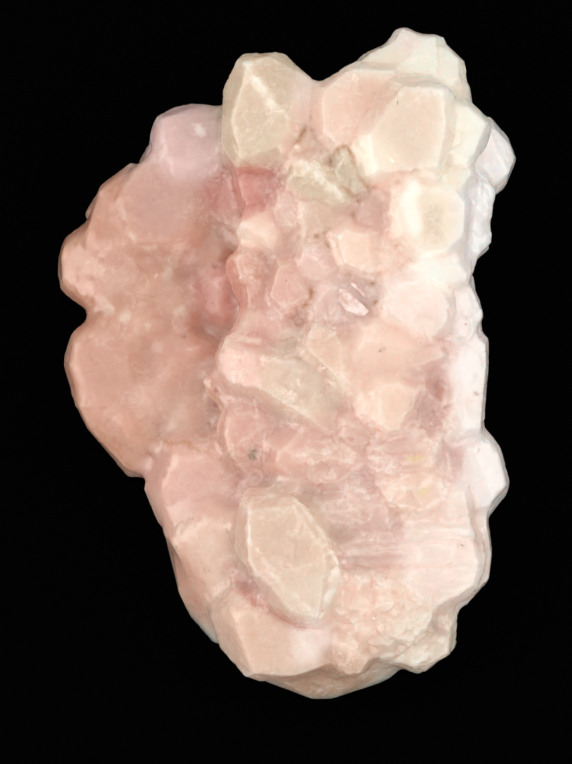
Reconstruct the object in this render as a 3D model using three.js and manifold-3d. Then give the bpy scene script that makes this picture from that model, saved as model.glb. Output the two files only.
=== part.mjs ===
// A hand specimen of crystallized rose quartz: stubby, blocky quartz crystals grown together
// over a lump of massive quartz, which is broken off flat underneath and rests on that break.
// It is one grown piece, so it is one solid.
//
// Two frames are used. The crystals are placed in the face frame, where the plate of crystals
// is seen square on: u runs across it, v runs along it and w stands out of it. The row frame
// has Z up, with the broken underside at z = 0. The crystal face leans towards -Y in it.
// All lengths are millimetres and all angles are degrees.

import * as THREE from "three";
import { ConvexGeometry } from "three/addons/geometries/ConvexGeometry.js";
import { mergeVertices } from "three/addons/utils/BufferGeometryUtils.js";
import Module from "manifold-3d";

const wasm = await Module();
wasm.setup();

// ---- driving dimensions ----

const FACE_LEAN = 15; // how far the crystal face leans from level
const FACE_HEIGHT = 18.5; // height of the face frame's origin above the broken underside
const RHOMB_ANGLE = 51.8; // between a quartz crystal's axis and the normal of its end faces
const PRISM_TAPER = 4; // how far the sides lean in towards the head
const MINOR_FACE = 0.12; // how much further out every second end face lies, as a share of girth
const UNEVEN = 0.1; // how far a face strays in or out from its even place, as a share of girth
const SPREAD = 0.6; // how far a crystal presses into its neighbours past its outline
const LUMP_DETAIL = 1; // subdivision of the massive quartz's lumps, which show broken facets
const LUMP_UNEVEN = 0.05; // how far those facets' corners stray, as a share of the half length
const COLOUR = 0xe9c3b2; // pale warm rose

// The crystals between those that stand out.
const FILL_SPACING = 4.2; // least distance between their feet
const FILL_GIRTH = [1.8, 2.9]; // least and most half width
const FILL_LENGTH = 7;
const FILL_STANDS = [0.7, 1.7]; // least and most height of the blunt end over the lump
const FILL_FLAT = [0.45, 0.8]; // least and most share of the girth that the blunt end takes up
const FILL_SWAY = 22; // most tilt away from square to the lump
const FILL_LOWEST = 5.5; // the bare broken rim below the crystals, above the underside
const FILL_TRIES = 420; // feet tried on each lump
const FILL_CLEAR = 0.6; // least distance from a foot to a crystal that stands out
const FILL_SEED = 20;
const CRYSTAL_SEED = 100;

const UP = new THREE.Vector3(0, 0, 1);
const GOLDEN_ANGLE = Math.PI * (3 - Math.sqrt(5)); // spreads the feet evenly over a lump
const NEARLY_PARALLEL = 1e-6; // three planes whose normals span less than this don't meet
const TOUCHING = 1e-6; // a corner this close to a plane lies on it
const ROOM = 200; // size of the box above the broken underside
const FACE_TO_ROW = new THREE.Matrix4()
  .makeRotationX(THREE.MathUtils.degToRad(FACE_LEAN))
  .setPosition(0, 0, FACE_HEIGHT);

// ---- the massive quartz ----

// Each lump is an ellipsoid in the face frame: its centre and its three half lengths.
const LUMPS = [
  { name: "trunk", at: [5.5, -6.5, -14], half: [13.5, 24, 11.5] },
  { name: "ridge", at: [9, 5, -10.3], half: [9.4, 22, 9.2] },
  { name: "crown", at: [11, 18, -15], half: [9, 12.5, 13] },
  { name: "back", at: [3.5, 20.5, -21], half: [8, 7, 11] },
  { name: "tooth_root", at: [-1.5, 19, -16], half: [6.5, 8.5, 12] },
  { name: "left_shoulder", at: [-9.5, 16, -19], half: [6.5, 8.5, 11] },
  { name: "left_wing", at: [-13.8, 8, -18], half: [7.4, 11.5, 9] },
  { name: "saddle", at: [-6.5, 7, -18], half: [7, 12, 9] },
  { name: "left_lower_wing", at: [-12.8, -3, -17], half: [7.8, 8.6, 8.5] },
  { name: "slope_shoulder", at: [-8.6, -9.8, -16], half: [5.5, 6, 7.5] },
  { name: "lower_slope", at: [-3.9, -15.9, -13.5], half: [9, 15.6, 8.5] },
  { name: "right_lower", at: [11.4, -18.4, -12.4], half: [7.2, 12.6, 8.6] },
  { name: "foot", at: [3.8, -22.4, -10.8], half: [12.2, 12.5, 7.4] },
];

// ---- the crystals that stand out ----

// head: the middle of the crystal's blunt end, in the face frame.
// lean: how far its axis tilts from w, and the heading it tilts towards, from u towards v.
// caps: how far each facet of the blunt end tilts from w, and the heading it tilts towards.
// rim: the outline of its sides round the head, as [u, v], where they aren't an even hexagon.
// girth: half the width of an even hexagon along the heading of its lean, and across it.
// spin: how far an even hexagon is turned round its axis.
// length: from the blunt end to the foot. flat: the share of the girth the blunt end takes up.
const CRYSTALS = [
  // the top edge
  { name: "top_left_tooth", head: [-2.6, 28.6, 0.6], lean: [16, 105], caps: [[20, 215], [32, 40]],
    length: 14, flat: 0.84,
    rim: [[-6.2, 26.3], [-6, 29], [-4.3, 31.6], [-0.6, 31.8], [2.8, 28.3], [2.4, 26.2], [0.3, 22.2],
      [-1.8, 20.8], [-4.8, 21], [-6, 23]] },
  { name: "top_middle", head: [6.6, 27, 0.2], lean: [14, 120], caps: [[10, 150]], length: 12,
    rim: [[3, 28], [4.4, 29.2], [7.3, 30.8], [11.4, 30.6], [12.2, 27], [9, 22.3], [4.6, 22.4],
      [3.3, 23.6], [2.9, 26]] },
  { name: "top_middle_back", head: [9.6, 31.2, -1.6], lean: [30, 100], caps: [[34, 105]], length: 12,
    rim: [[6.4, 30.2], [7.6, 31.8], [9.8, 33], [11.6, 33.4], [12.6, 31], [11, 28.6], [7.5, 28.6]] },
  { name: "top_knob", head: [12.3, 33.8, -2.5], lean: [34, 95], caps: [[30, 95]], length: 10,
    rim: [[11, 33.4], [11.4, 34.6], [12.4, 34.9], [13.4, 34.2], [13.2, 32.8], [11.8, 32.4]] },
  { name: "top_column_1", head: [14.2, 31.8, -1.2], lean: [28, 88], caps: [[36, 80]], length: 10,
    rim: [[12.9, 33.9], [14.4, 34.2], [15.7, 33.7], [15.9, 31], [14.5, 28.8], [12.6, 29.2], [12.2, 32]] },
  { name: "top_column_2", head: [16.6, 31, -1.6], lean: [30, 65], caps: [[40, 60]], length: 10,
    rim: [[15.4, 33.5], [17, 32.6], [18.1, 31.3], [18, 29.5], [17, 28.4], [15.4, 28.6], [15, 31]] },
  { name: "top_column_3", head: [17.9, 28.6, -2.2], lean: [34, 40], caps: [[34, 30]], length: 10,
    rim: [[17.2, 30.2], [18.9, 28.7], [18.8, 27.2], [17.6, 26.4], [16.4, 28]] },
  { name: "big_block", head: [12.3, 24.2, 3.2], lean: [10, 60], caps: [[5, 205]], length: 12,
    flat: 0.84,
    rim: [[7.3, 22], [7.8, 20.4], [9.5, 19.5], [14.7, 19.2], [16.3, 23.2], [16.6, 27.6], [14.6, 29],
      [11.6, 28.9], [9.8, 27.4]] },
  { name: "cream_block", head: [18.4, 23.8, 1], lean: [24, 20], caps: [[18, 10]], length: 11,
    rim: [[16, 25.8], [17.2, 26.9], [18.6, 26.9], [20.9, 25.1], [20.8, 23.6], [20, 22.2],
      [18.1, 20.6], [16.3, 21]] },
  { name: "cream_step", head: [16.8, 19.8, 0.4], lean: [20, 330], caps: [[12, 320]], length: 10,
    rim: [[14.8, 21.2], [18.2, 20.9], [19.2, 19.2], [17.8, 17.8], [15, 18.6]] },
  { name: "grey_knob", head: [21.6, 21.8, -7.2], lean: [36, 0], caps: [[28, 350], [48, 10]],
    length: 11, flat: 0.7,
    rim: [[20, 24.9], [21.6, 25], [22.9, 24], [24, 21.8], [23.8, 20], [23, 18.6], [21.8, 18],
      [19.6, 19.4], [19.2, 22.4]] },
  // the upper right
  { name: "white_block", head: [14.8, 15.4, 1.7], lean: [16, 0], caps: [[12, 340]], length: 11,
    flat: 0.82,
    rim: [[12.8, 18.8], [11.6, 17.6], [11.2, 15.2], [11.9, 12.7], [13.6, 11], [16.2, 11.2],
      [18.2, 12.6], [18.6, 16.5], [17, 18.7]] },
  { name: "white_wedge", head: [16.1, 9.8, 0.4], lean: [26, 320], caps: [[16, 320]], length: 9,
    rim: [[13.4, 10.2], [14, 11], [17.4, 11.2], [18.8, 9.8], [18.4, 8.2], [16, 8.3], [14.4, 9.1]] },
  { name: "right_column_1", head: [20.4, 17, -3.6], lean: [50, 12], caps: [[46, 10]], girth: [2, 2.5],
    spin: 30 },
  { name: "right_column_2", head: [20.1, 13.2, -3.8], lean: [50, 0], caps: [[46, 0]], girth: [1.9, 2] },
  { name: "right_column_3", head: [18.4, 10.6, -2.4], lean: [46, 350], caps: [[44, 350]],
    girth: [1.6, 1.8] },
  { name: "right_column_4", head: [18.6, 6.2, -1.8], lean: [34, 0], caps: [[36, 5]],
    rim: [[16.8, 5.6], [17.3, 8], [18.8, 8.7], [19.9, 7], [20.4, 4.6], [19, 2.6], [17, 3]] },
  { name: "right_column_5", head: [18.9, -2.8, -1.9], lean: [30, 0], caps: [[32, 0]],
    rim: [[17.3, 1.2], [19.2, 3.6], [20.9, 2.6], [20.9, -2], [20.6, -5], [20.3, -7.4], [18.3, -7.6],
      [16.7, -4.8]] },
  { name: "round_button", head: [6.6, 19.8, 0.5], lean: [8, 250], caps: [[14, 230]], length: 8,
    flat: 0.8,
    rim: [[4.7, 20.3], [5.3, 21.6], [6.7, 21.9], [7.9, 21.2], [8.6, 19.8], [8, 18.1], [6.7, 17.5],
      [5.3, 18.2]] },
  { name: "under_block", head: [10.7, 18.6, 0.4], lean: [14, 280], caps: [[14, 280]], length: 8,
    rim: [[8.9, 19.3], [10.5, 20], [12.6, 19.4], [12.6, 18.3], [11.4, 17.4], [9.9, 17.3], [9, 18.1]] },
  { name: "ridge_block", head: [3.9, 19, 0.3], lean: [20, 230], caps: [[26, 228], [24, 48]],
    rim: [[-1.2, 18.8], [-0.4, 20.6], [1.2, 21.5], [3.4, 21.2], [5, 19.8], [6.7, 16.9], [5.4, 16],
      [2.4, 16.4], [0, 17]] },
  { name: "small_upper", head: [2.3, 22.6, -0.8], lean: [10, 100], caps: [[12, 60]], length: 8,
    rim: [[0.2, 22], [0.8, 23.2], [2.2, 24.6], [3.4, 23.4], [4.4, 21.9], [3, 20.9], [1, 21]] },
  // the middle
  { name: "bright_tip", head: [-3.4, 14, -2], lean: [40, 185], caps: [[40, 235], [14, 90]],
    rim: [[-5.7, 13.4], [-5.4, 14.4], [-3.9, 16.2], [-1.5, 15.9], [-1, 14], [-2, 12.4], [-4.6, 12.4]] },
  { name: "middle_pink_1", head: [3, 14.8, -0.9], lean: [16, 250], caps: [[14, 250]],
    rim: [[1, 14.6], [1.6, 16.5], [3.8, 17], [5.5, 15.6], [4.8, 13.2], [3, 12.3], [1.5, 12.7]] },
  { name: "middle_pink_2", head: [0, 15.9, -1.7], lean: [24, 210], caps: [[18, 215]],
    rim: [[-1.6, 16], [-1.2, 17.6], [0.8, 17.9], [1.7, 16.2], [1, 14.1], [-1, 13.3]] },
  { name: "rose_top", head: [9, 15.6, 0.2], lean: [10, 90], caps: [[12, 95]],
    rim: [[6.8, 15], [7.2, 16.2], [8.4, 17.1], [9.8, 17.1], [10.8, 15.9], [11, 14.1], [9, 13.4],
      [7.5, 13.9]] },
  { name: "rose_left", head: [7, 11.8, 0.9], lean: [10, 220], caps: [[12, 225]], flat: 0.6,
    rim: [[4.4, 13], [4.7, 11.4], [6.3, 9.2], [8.8, 8.3], [9.7, 9.3], [9.4, 12.5], [8.1, 14.7],
      [6.4, 15]] },
  { name: "rose_right", head: [10.6, 12, 0.6], lean: [12, 0], caps: [[14, 0]], flat: 0.6,
    rim: [[9.2, 12.8], [9.5, 9.5], [10.9, 9.1], [12, 11], [11.9, 12.6], [11, 14.1], [9.7, 14.3]] },
  { name: "middle_left", head: [3.1, 10.4, -0.1], lean: [12, 200], caps: [[22, 215], [14, 60]],
    rim: [[1.2, 10.8], [1.6, 12.2], [3.4, 12.5], [4.5, 11.8], [5.1, 10.3], [4.7, 9], [3, 8.3], [1.6, 9]] },
  { name: "leaning_1", head: [-4, 9.4, -2.6], lean: [30, 150], caps: [[30, 205], [16, 20]],
    rim: [[-6.5, 10.4], [-5.8, 11.6], [-4.4, 12.3], [-2.2, 11.6], [-1.4, 9], [-2, 6.3], [-3.4, 5.2],
      [-5.2, 7.6]] },
  { name: "leaning_2", head: [0, 8, -1.2], lean: [20, 190], caps: [[18, 200]],
    rim: [[-2, 8], [-1.2, 10.4], [0.6, 10.6], [1.8, 8.6], [2, 6.4], [0, 5.3], [-1.7, 6.2]] },
  { name: "mirror_block", head: [6.6, 6.6, 0.5], lean: [14, 300],
    caps: [[18, 45], [26, 232], [24, 320]], flat: 0.8,
    rim: [[2.3, 6], [2.8, 7.8], [4, 8.7], [7.3, 8.8], [10, 6.6], [9.2, 4.7], [6.5, 4.3], [3, 4.7]] },
  { name: "round_block", head: [13.4, 6, 1], lean: [8, 0], caps: [[6, 20]], flat: 0.82,
    rim: [[10.1, 6.4], [10.5, 7.8], [11.7, 9.2], [13.4, 9.5], [15.9, 8.2], [16.8, 6.2], [16.3, 4],
      [15.2, 2.7], [13, 2.9], [11, 4.4]] },
  { name: "long_left", head: [-3, 0, -0.6], lean: [30, 172], caps: [[34, 190], [6, 60]], length: 12,
    flat: 0.84,
    rim: [[-7.5, 1.2], [-6.7, 2.6], [-2.2, 2.6], [2.2, 1], [5.9, -2], [5.7, -4.8], [4.4, -6.3],
      [1.8, -5.8], [-5.8, -3.1], [-7.5, -1.8]] },
  { name: "clear_middle", head: [4, 1.8, 0.1], lean: [16, 150], caps: [[10, 110]],
    rim: [[1.6, 2.2], [2.2, 3.8], [3.6, 4.6], [4.9, 3.9], [6.3, 1], [6.4, -1.4], [5.6, -2.2],
      [2.4, 0.4]] },
  { name: "small_pink", head: [-3.4, 4, -2.6], lean: [20, 190], caps: [[18, 190]], length: 8,
    rim: [[-5.4, 3.6], [-4.6, 5.2], [-2.6, 5.6], [-0.6, 4.8], [0.4, 3], [-1, 1.8], [-4, 2]] },
  { name: "broad_right", head: [11, 2, 0.4], lean: [8, 0], caps: [[8, 70], [14, 265]], flat: 0.82,
    rim: [[6.3, 1], [7, 3.4], [9, 4.4], [11.5, 4], [15.8, 2.6], [17, 0.6], [14.5, -0.9], [9.5, -1.5],
      [6.7, -1]] },
  { name: "light_edged", head: [9.7, -4.2, 1], lean: [10, 330], caps: [[26, 195], [9, 320]],
    rim: [[7.6, -3], [8.6, -1.7], [11.5, -1.3], [13.6, -2.1], [14.3, -3.8], [12.7, -7], [10, -7.2],
      [8.5, -5.9], [7.6, -4.4]] },
  { name: "pink_recess", head: [15.4, -3.4, -2.6], lean: [14, 200], caps: [[22, 200]],
    rim: [[14, 0], [16.8, -0.4], [17.4, -3], [16.6, -6.6], [14.6, -7.8], [13.2, -5]] },
  { name: "pink_patch", head: [7.4, -6.4, -0.5], lean: [10, 250], caps: [[10, 60], [24, 250]],
    length: 9,
    rim: [[5.4, -5.4], [6.6, -4.4], [8.2, -5], [9.2, -7], [8.6, -8.6], [6.8, -8.6], [5.4, -7.2]] },
  { name: "spotted", head: [-3.9, -7.4, -2.8], lean: [14, 240], caps: [[12, 190], [24, 280]],
    rim: [[-6.6, -6.5], [-5.8, -4.6], [-3.5, -4.1], [-1.6, -5.6], [-0.9, -8.5], [-2, -10.9],
      [-4.4, -11.7], [-6.2, -10]] },
  { name: "shelf_1", head: [3, -9.2, -1.1], lean: [10, 280], caps: [[10, 80], [20, 262]],
    rim: [[-1.5, -7.6], [1, -6], [4.6, -6.2], [7.8, -8.6], [7.4, -11.4], [4.5, -13], [0.5, -12.6],
      [-1.6, -10.5]] },
  { name: "shelf_2", head: [7.6, -14.6, -1.2], lean: [12, 300], caps: [[9, 100], [22, 280]],
    rim: [[3.6, -13.6], [7.8, -12.2], [11.2, -13.6], [11.4, -16.6], [8, -17.8], [4.6, -16.8]] },
  { name: "shelf_3", head: [12, -9.2, -0.5], lean: [12, 300], caps: [[10, 80], [26, 280]],
    rim: [[8.4, -8.2], [10.5, -7.4], [15.6, -8], [16, -10], [12, -11.4], [8.8, -11]] },
  { name: "shelf_4", head: [13.2, -12.6, -1.1], lean: [14, 320], caps: [[14, 60], [22, 290]],
    rim: [[9.6, -11.8], [13, -10.8], [16.4, -11.4], [16.9, -13.6], [13.6, -15.3], [10.2, -14.6]] },
  { name: "shelf_5", head: [8.6, -19, -1.5], lean: [12, 290], caps: [[10, 90], [28, 275]],
    rim: [[4.8, -18.8], [8, -17.2], [12, -17.6], [12.6, -19.8], [9, -21.3], [5.6, -20.9]] },
  { name: "shelf_6", head: [16.8, -14.9, -2.2], lean: [22, 335], caps: [[22, 330], [20, 200]],
    rim: [[14, -14.6], [16, -12.6], [18.6, -12.8], [19, -15], [17.4, -16.6], [14.6, -16.4]] },
  // the lower half
  { name: "right_lump", head: [20.2, -11, -4], lean: [30, 350], caps: [[20, 340], [40, 5]], length: 11,
    flat: 0.72,
    rim: [[18, -7.3], [20.4, -6.9], [21.9, -8.4], [23.2, -11.7], [23.1, -13.6], [21.4, -15.2],
      [19, -14.6], [17.5, -12], [17.5, -9.3]] },
  { name: "right_edge", head: [19.2, -19.6, -5], lean: [36, 345], caps: [[36, 345]], length: 10,
    rim: [[18.2, -16], [20.6, -15.6], [21.7, -19.4], [21.2, -22.2], [19, -24.3], [17, -23.8],
      [17.2, -18]] },
  { name: "stepped_block", head: [15.8, -20.9, -2], lean: [16, 320], caps: [[6, 70], [24, 285]],
    length: 12, flat: 0.86,
    rim: [[12, -18], [12.6, -16.2], [18.2, -15.9], [19.8, -18], [19.9, -20.2], [18.7, -23.4],
      [16.5, -25], [14, -25.8], [12.2, -24], [11.6, -21.5]] },
  { name: "upper_step", head: [15.6, -17.4, -1.6], lean: [10, 320], caps: [[10, 100]], length: 5,
    flat: 0.9,
    rim: [[12.7, -16.6], [18.4, -16.4], [18.8, -17.7], [12.5, -18]] },
  { name: "lower_step", head: [15.2, -19.6, -1.6], lean: [8, 320], caps: [[8, 260]], length: 5,
    flat: 0.9,
    rim: [[13.3, -18.5], [16.9, -18.5], [16.9, -20.7], [13.4, -20.8]] },
  { name: "floater", head: [1.2, -20.8, 1.6], lean: [12, 150], caps: [[9, 125], [16, 275]], length: 6,
    flat: 0.88,
    rim: [[-4.2, -13.1], [-1, -13], [2, -15.3], [4.6, -19.3], [5.1, -22.5], [3.5, -26.1],
      [1.4, -25.8], [-1.2, -24.2], [-4.8, -18.6], [-4.8, -16]] },
  { name: "bottom_block", head: [1.4, -27.8, -2.6], lean: [24, 265], caps: [[22, 245], [14, 350]],
    length: 11, flat: 0.8,
    rim: [[-6.9, -26.8], [-5.9, -30.3], [-3.2, -32.3], [-0.8, -32.7], [2, -32.1], [4.4, -31],
      [6.1, -28.5], [6.3, -25.8], [4.8, -24.4], [-3.5, -24.4], [-5.6, -25]] },
  { name: "druse_1", head: [7.2, -22.4, -1.9], lean: [14, 240], caps: [[15, 200]], girth: [1.5, 1.5],
    length: 7, flat: 0.5 },
  { name: "druse_2", head: [10.2, -21.9, -1.8], lean: [12, 80], caps: [[15, 60]], girth: [1.4, 1.4],
    length: 7, flat: 0.5 },
  { name: "druse_3", head: [8.4, -25.8, -2.6], lean: [18, 270], caps: [[15, 240]], girth: [1.9, 1.9],
    spin: 20, length: 8 },
  { name: "druse_4", head: [12.2, -26.8, -3.4], lean: [26, 290], caps: [[20, 300]], girth: [2.3, 2.2],
    spin: 10, length: 8 },
  { name: "druse_5", head: [10.8, -24.4, -2.4], lean: [16, 300], caps: [[20, 320]], girth: [1.3, 1.3],
    spin: 10, length: 8 },
  { name: "druse_6", head: [9.6, -28.4, -4.2], lean: [30, 275], caps: [[26, 265]], girth: [1.9, 1.7],
    spin: 25, length: 8 },
  { name: "druse_7", head: [14.5, -28.8, -5.6], lean: [34, 305], caps: [[30, 300]], girth: [2.7, 3.1],
    length: 8 },
  // the left side
  { name: "shoulder_block", head: [-10, 23.2, -6], lean: [24, 125], caps: [[20, 150], [36, 80]],
    length: 11,
    rim: [[-13.6, 23.6], [-13.4, 25], [-12.4, 26.3], [-9.8, 26.9], [-7.8, 26.5], [-6.2, 24.6],
      [-6.6, 21.4], [-9.5, 19.8], [-12, 20.6]] },
  { name: "left_plate", head: [-13.4, 16.6, -7], lean: [18, 150], caps: [[12, 160]], length: 11,
    flat: 0.85,
    rim: [[-17.7, 17.6], [-16, 19.8], [-13.4, 21.8], [-10.5, 20.2], [-8.4, 17.4], [-9.6, 13.4],
      [-11.6, 11.9], [-15.2, 12.1], [-16.6, 14.6]] },
  { name: "left_edge_upper", head: [-18.6, 15, -9.2], lean: [30, 160], caps: [[28, 160]], length: 11,
    rim: [[-21.4, 13.8], [-20.6, 16.2], [-19.4, 18.8], [-17.4, 19.9], [-16.4, 17], [-15.6, 14],
      [-16.3, 11.5], [-19, 11.2], [-21.2, 12.4]] },
  { name: "left_lobe", head: [-20.4, 9.8, -10.6], lean: [32, 178], caps: [[30, 180]], length: 11,
    flat: 0.74,
    rim: [[-24.5, 8.9], [-24.6, 10.8], [-23.4, 13.1], [-21.2, 14.2], [-18.4, 12.6], [-17.2, 9.6],
      [-18.4, 6.9], [-20.8, 6.3], [-22.8, 7.4]] },
  { name: "left_lower_lobe", head: [-19, 0.8, -9.6], lean: [28, 182], caps: [[24, 184]], length: 11,
    flat: 0.76,
    rim: [[-23.6, 0.4], [-23.2, 1.9], [-21.2, 4.1], [-18, 5.8], [-15.6, 4.4], [-15, 0.5], [-16.2, -3.8],
      [-19.4, -5.6], [-22, -4.2]] },
  { name: "left_low", head: [-17.6, -6.2, -10], lean: [34, 222], caps: [[30, 222]], length: 11,
    rim: [[-22, -4.4], [-21.2, -6.9], [-19.1, -9.2], [-16.4, -11.5], [-14.2, -11.4], [-13.6, -6],
      [-15.8, -3.4], [-19.2, -3]] },
  { name: "bump_1", head: [-16.4, 10.4, -8.9], lean: [12, 160], caps: [[14, 150]], girth: [1.9, 1.8],
    spin: 10 },
  { name: "bump_2", head: [-12.4, 9.2, -8.3], lean: [8, 40], caps: [[10, 30]], girth: [1.9, 1.7],
    spin: 25 },
  { name: "bump_3", head: [-11, 5.6, -8.2], lean: [14, 20], caps: [[12, 45]], girth: [1.4, 1.9] },
  { name: "bump_4", head: [-16.6, 5, -8.6], lean: [14, 190], caps: [[10, 200]], girth: [1.7, 1.7],
    spin: 15 },
  { name: "bump_5", head: [-13.7, 4.2, -7.9], lean: [8, 260], caps: [[10, 240]], girth: [1.5, 1.7],
    spin: 40 },
  { name: "bump_6", head: [-14.4, 7.2, -8.1], lean: [8, 120], caps: [[12, 100]], girth: [1.5, 1.4] },
  { name: "valley_small", head: [-8.6, 8, -9.2], lean: [10, 200], caps: [[14, 60]], girth: [1.8, 2],
    spin: 20 },
  { name: "left_cluster", head: [-10.6, 0.5, -6.8], lean: [10, 200], caps: [[16, 160], [20, 320]],
    length: 8,
    rim: [[-13.4, 0.2], [-12.4, 2], [-10.4, 2.6], [-8.3, 1.7], [-7.8, 0], [-9, -1.4], [-11, -2],
      [-12.9, -1.2]] },
  { name: "left_long", head: [-13.6, -3.3, -7.8], lean: [14, 220], caps: [[14, 210]], length: 8,
    rim: [[-15.2, -1.8], [-13.4, -1.2], [-11.7, -3], [-12.6, -5.2], [-14.4, -5.4], [-15.6, -3.6]] },
  { name: "left_pale", head: [-15.7, -6.6, -8.8], lean: [18, 225], caps: [[18, 225]], length: 8,
    rim: [[-17.6, -5.2], [-15.6, -4.5], [-13.8, -6], [-14, -8.2], [-16, -8.8], [-17.8, -7.4]] },
  { name: "left_small", head: [-9.4, -5.4, -7.2], lean: [12, 230], caps: [[20, 190], [18, 330]],
    length: 8,
    rim: [[-12, -5.6], [-10.6, -3.6], [-8, -3.4], [-6.8, -5], [-7.4, -7.2], [-9.8, -8], [-11.8, -7.4]] },
  { name: "rose_window", head: [-5, 17.4, -6.4], lean: [16, 210], caps: [[20, 218]], length: 9,
    flat: 0.9,
    rim: [[-8.8, 18.4], [-5.6, 20.2], [-2.2, 20], [-0.8, 17.6], [-1.6, 15.6], [-5, 13.9], [-8, 15.6]] },
  { name: "valley_block", head: [-8.4, 12, -8.2], lean: [12, 200], caps: [[12, 120]], length: 8,
    rim: [[-10.6, 12.2], [-9.4, 14], [-7.2, 13.8], [-6.4, 12], [-7.6, 10.2], [-9.8, 10.3]] },
  { name: "slope_1", head: [-9.4, -12.6, -6.6], lean: [26, 225], caps: [[28, 225]], length: 10,
    flat: 0.85,
    rim: [[-14, -12.6], [-12.4, -9], [-8.6, -8.2], [-5.6, -11.4], [-5.4, -16], [-8.6, -18],
      [-13, -17]] },
  { name: "slope_2", head: [-7.6, -19.6, -6.2], lean: [28, 220], caps: [[32, 218]], length: 10,
    flat: 0.85,
    rim: [[-12.2, -17.6], [-9.6, -15.2], [-6, -15.6], [-3.4, -19.6], [-3.6, -24], [-7.4, -25.6],
      [-10.4, -22.6]] },
];

// What a crystal has unless it says otherwise.
const USUAL = { spin: 0, length: 10, flat: 0.76 };

// ---- shapes ----

const radians = THREE.MathUtils.degToRad;

// A repeatable run of random numbers from 0 to 1, after Park and Miller.
function randomFrom(seed) {
  let state = seed * 7919 + 1;
  return () => {
    state = (state * 48271) % 2147483647;
    return state / 2147483647;
  };
}

// A unit vector tilted from w towards a heading, which turns from u towards v.
function tilted([tilt, heading]) {
  const across = Math.sin(radians(tilt));
  return new THREE.Vector3(
    across * Math.cos(radians(heading)),
    across * Math.sin(radians(heading)),
    Math.cos(radians(tilt)),
  );
}

// The tilt and heading of a direction: tilted() the other way round.
function tiltOf(direction) {
  const { x, y, z } = direction.clone().normalize();
  return [THREE.MathUtils.radToDeg(Math.acos(z)), THREE.MathUtils.radToDeg(Math.atan2(y, x))];
}

// The plane through a point with its normal facing out.
function planeThrough(point, outward) {
  return new THREE.Plane().setFromNormalAndCoplanarPoint(outward.normalize(), point);
}

// The corners of the convex body inside all the planes: where three meet and none cuts them off.
function cornersOf(planes) {
  const corners = [];
  for (let i = 0; i < planes.length; i++)
    for (let j = i + 1; j < planes.length; j++)
      for (let k = j + 1; k < planes.length; k++) {
        const [a, b, c] = [planes[i], planes[j], planes[k]];
        const bc = new THREE.Vector3().crossVectors(b.normal, c.normal);
        const ca = new THREE.Vector3().crossVectors(c.normal, a.normal);
        const ab = new THREE.Vector3().crossVectors(a.normal, b.normal);
        const spread = a.normal.dot(bc);
        if (Math.abs(spread) < NEARLY_PARALLEL) continue;
        const corner = bc.multiplyScalar(-a.constant)
          .addScaledVector(ca, -b.constant)
          .addScaledVector(ab, -c.constant)
          .divideScalar(spread);
        if (isWithin(TOUCHING, corner, planes)) corners.push(corner);
      }
  return corners;
}

// The sides of an even hexagon: which way each faces, and a point on its upper edge.
function hexagonSides({ lean, girth, spin }, axis, head, random) {
  const up = tilted([lean[0] - 90, lean[1]]);
  const side = new THREE.Vector3().crossVectors(axis, up);
  return Array.from({ length: 6 }, (_, i) => {
    const turn = radians(spin + 60 * i);
    const outward = up.clone().multiplyScalar(Math.cos(turn)).addScaledVector(side, Math.sin(turn));
    const stray = 1 + UNEVEN * (2 * random() - 1);
    const reach = stray * Math.hypot(girth[0] * Math.cos(turn), girth[1] * Math.sin(turn));
    return { outward, edge: head.clone().addScaledVector(outward, reach) };
  });
}

// The sides that run down along the axis from each edge of a rim. The rim is seen along w, and
// lies on the facets of the blunt end.
function rimSides({ rim }, axis, head, facets) {
  const turned = Math.sign(THREE.ShapeUtils.area(rim.map(([u, v]) => new THREE.Vector2(u, v))));
  const heightAt = (u, v) => Math.min(...facets.map(({ normal, constant }) =>
    -(constant + normal.x * u + normal.y * v) / normal.z));
  return rim.map(([u, v], i) => {
    const [nextU, nextV] = rim[(i + 1) % rim.length];
    const [middleU, middleV] = [(u + nextU) / 2, (v + nextV) / 2];
    const along = new THREE.Vector3(nextU - u, nextV - v, 0).multiplyScalar(turned);
    const outward = along.cross(axis).normalize();
    return { outward, edge: new THREE.Vector3(middleU, middleV, heightAt(middleU, middleV)) };
  });
}

// The faces of one crystal: the foot, the blunt end's facets, its sides and an end face over each.
function crystalPlanes(given, random) {
  const crystal = { ...USUAL, ...given };
  const axis = tilted(crystal.lean);
  const head = new THREE.Vector3(...crystal.head);
  const foot = head.clone().addScaledVector(axis, -crystal.length);
  const facets = crystal.caps.map((cap) => planeThrough(head, tilted(cap)));
  const sides = crystal.rim
    ? rimSides(crystal, axis, head, facets)
    : hexagonSides(crystal, axis, head, random);
  const faceTurned = (point, outward, slope) => {
    const [across, along] = [Math.cos(radians(slope)), Math.sin(radians(slope))];
    return planeThrough(point, outward.clone().multiplyScalar(across).addScaledVector(axis, along));
  };
  return [
    planeThrough(foot, axis.clone().negate()),
    ...facets,
    ...sides.flatMap(({ outward, edge }, i) => {
      const flat = crystal.flat + (i % 2) * MINOR_FACE + UNEVEN * (2 * random() - 1);
      const blunt = head.clone().lerp(edge, Math.min(flat, 1));
      const drop = Math.tan(radians(RHOMB_ANGLE)) * edge.clone().sub(blunt).dot(outward);
      const shoulder = edge.clone().addScaledVector(UP, -drop).addScaledVector(outward, SPREAD);
      return [faceTurned(shoulder, outward, PRISM_TAPER), faceTurned(blunt, outward, 90 - RHOMB_ANGLE)];
    }),
  ];
}

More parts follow.
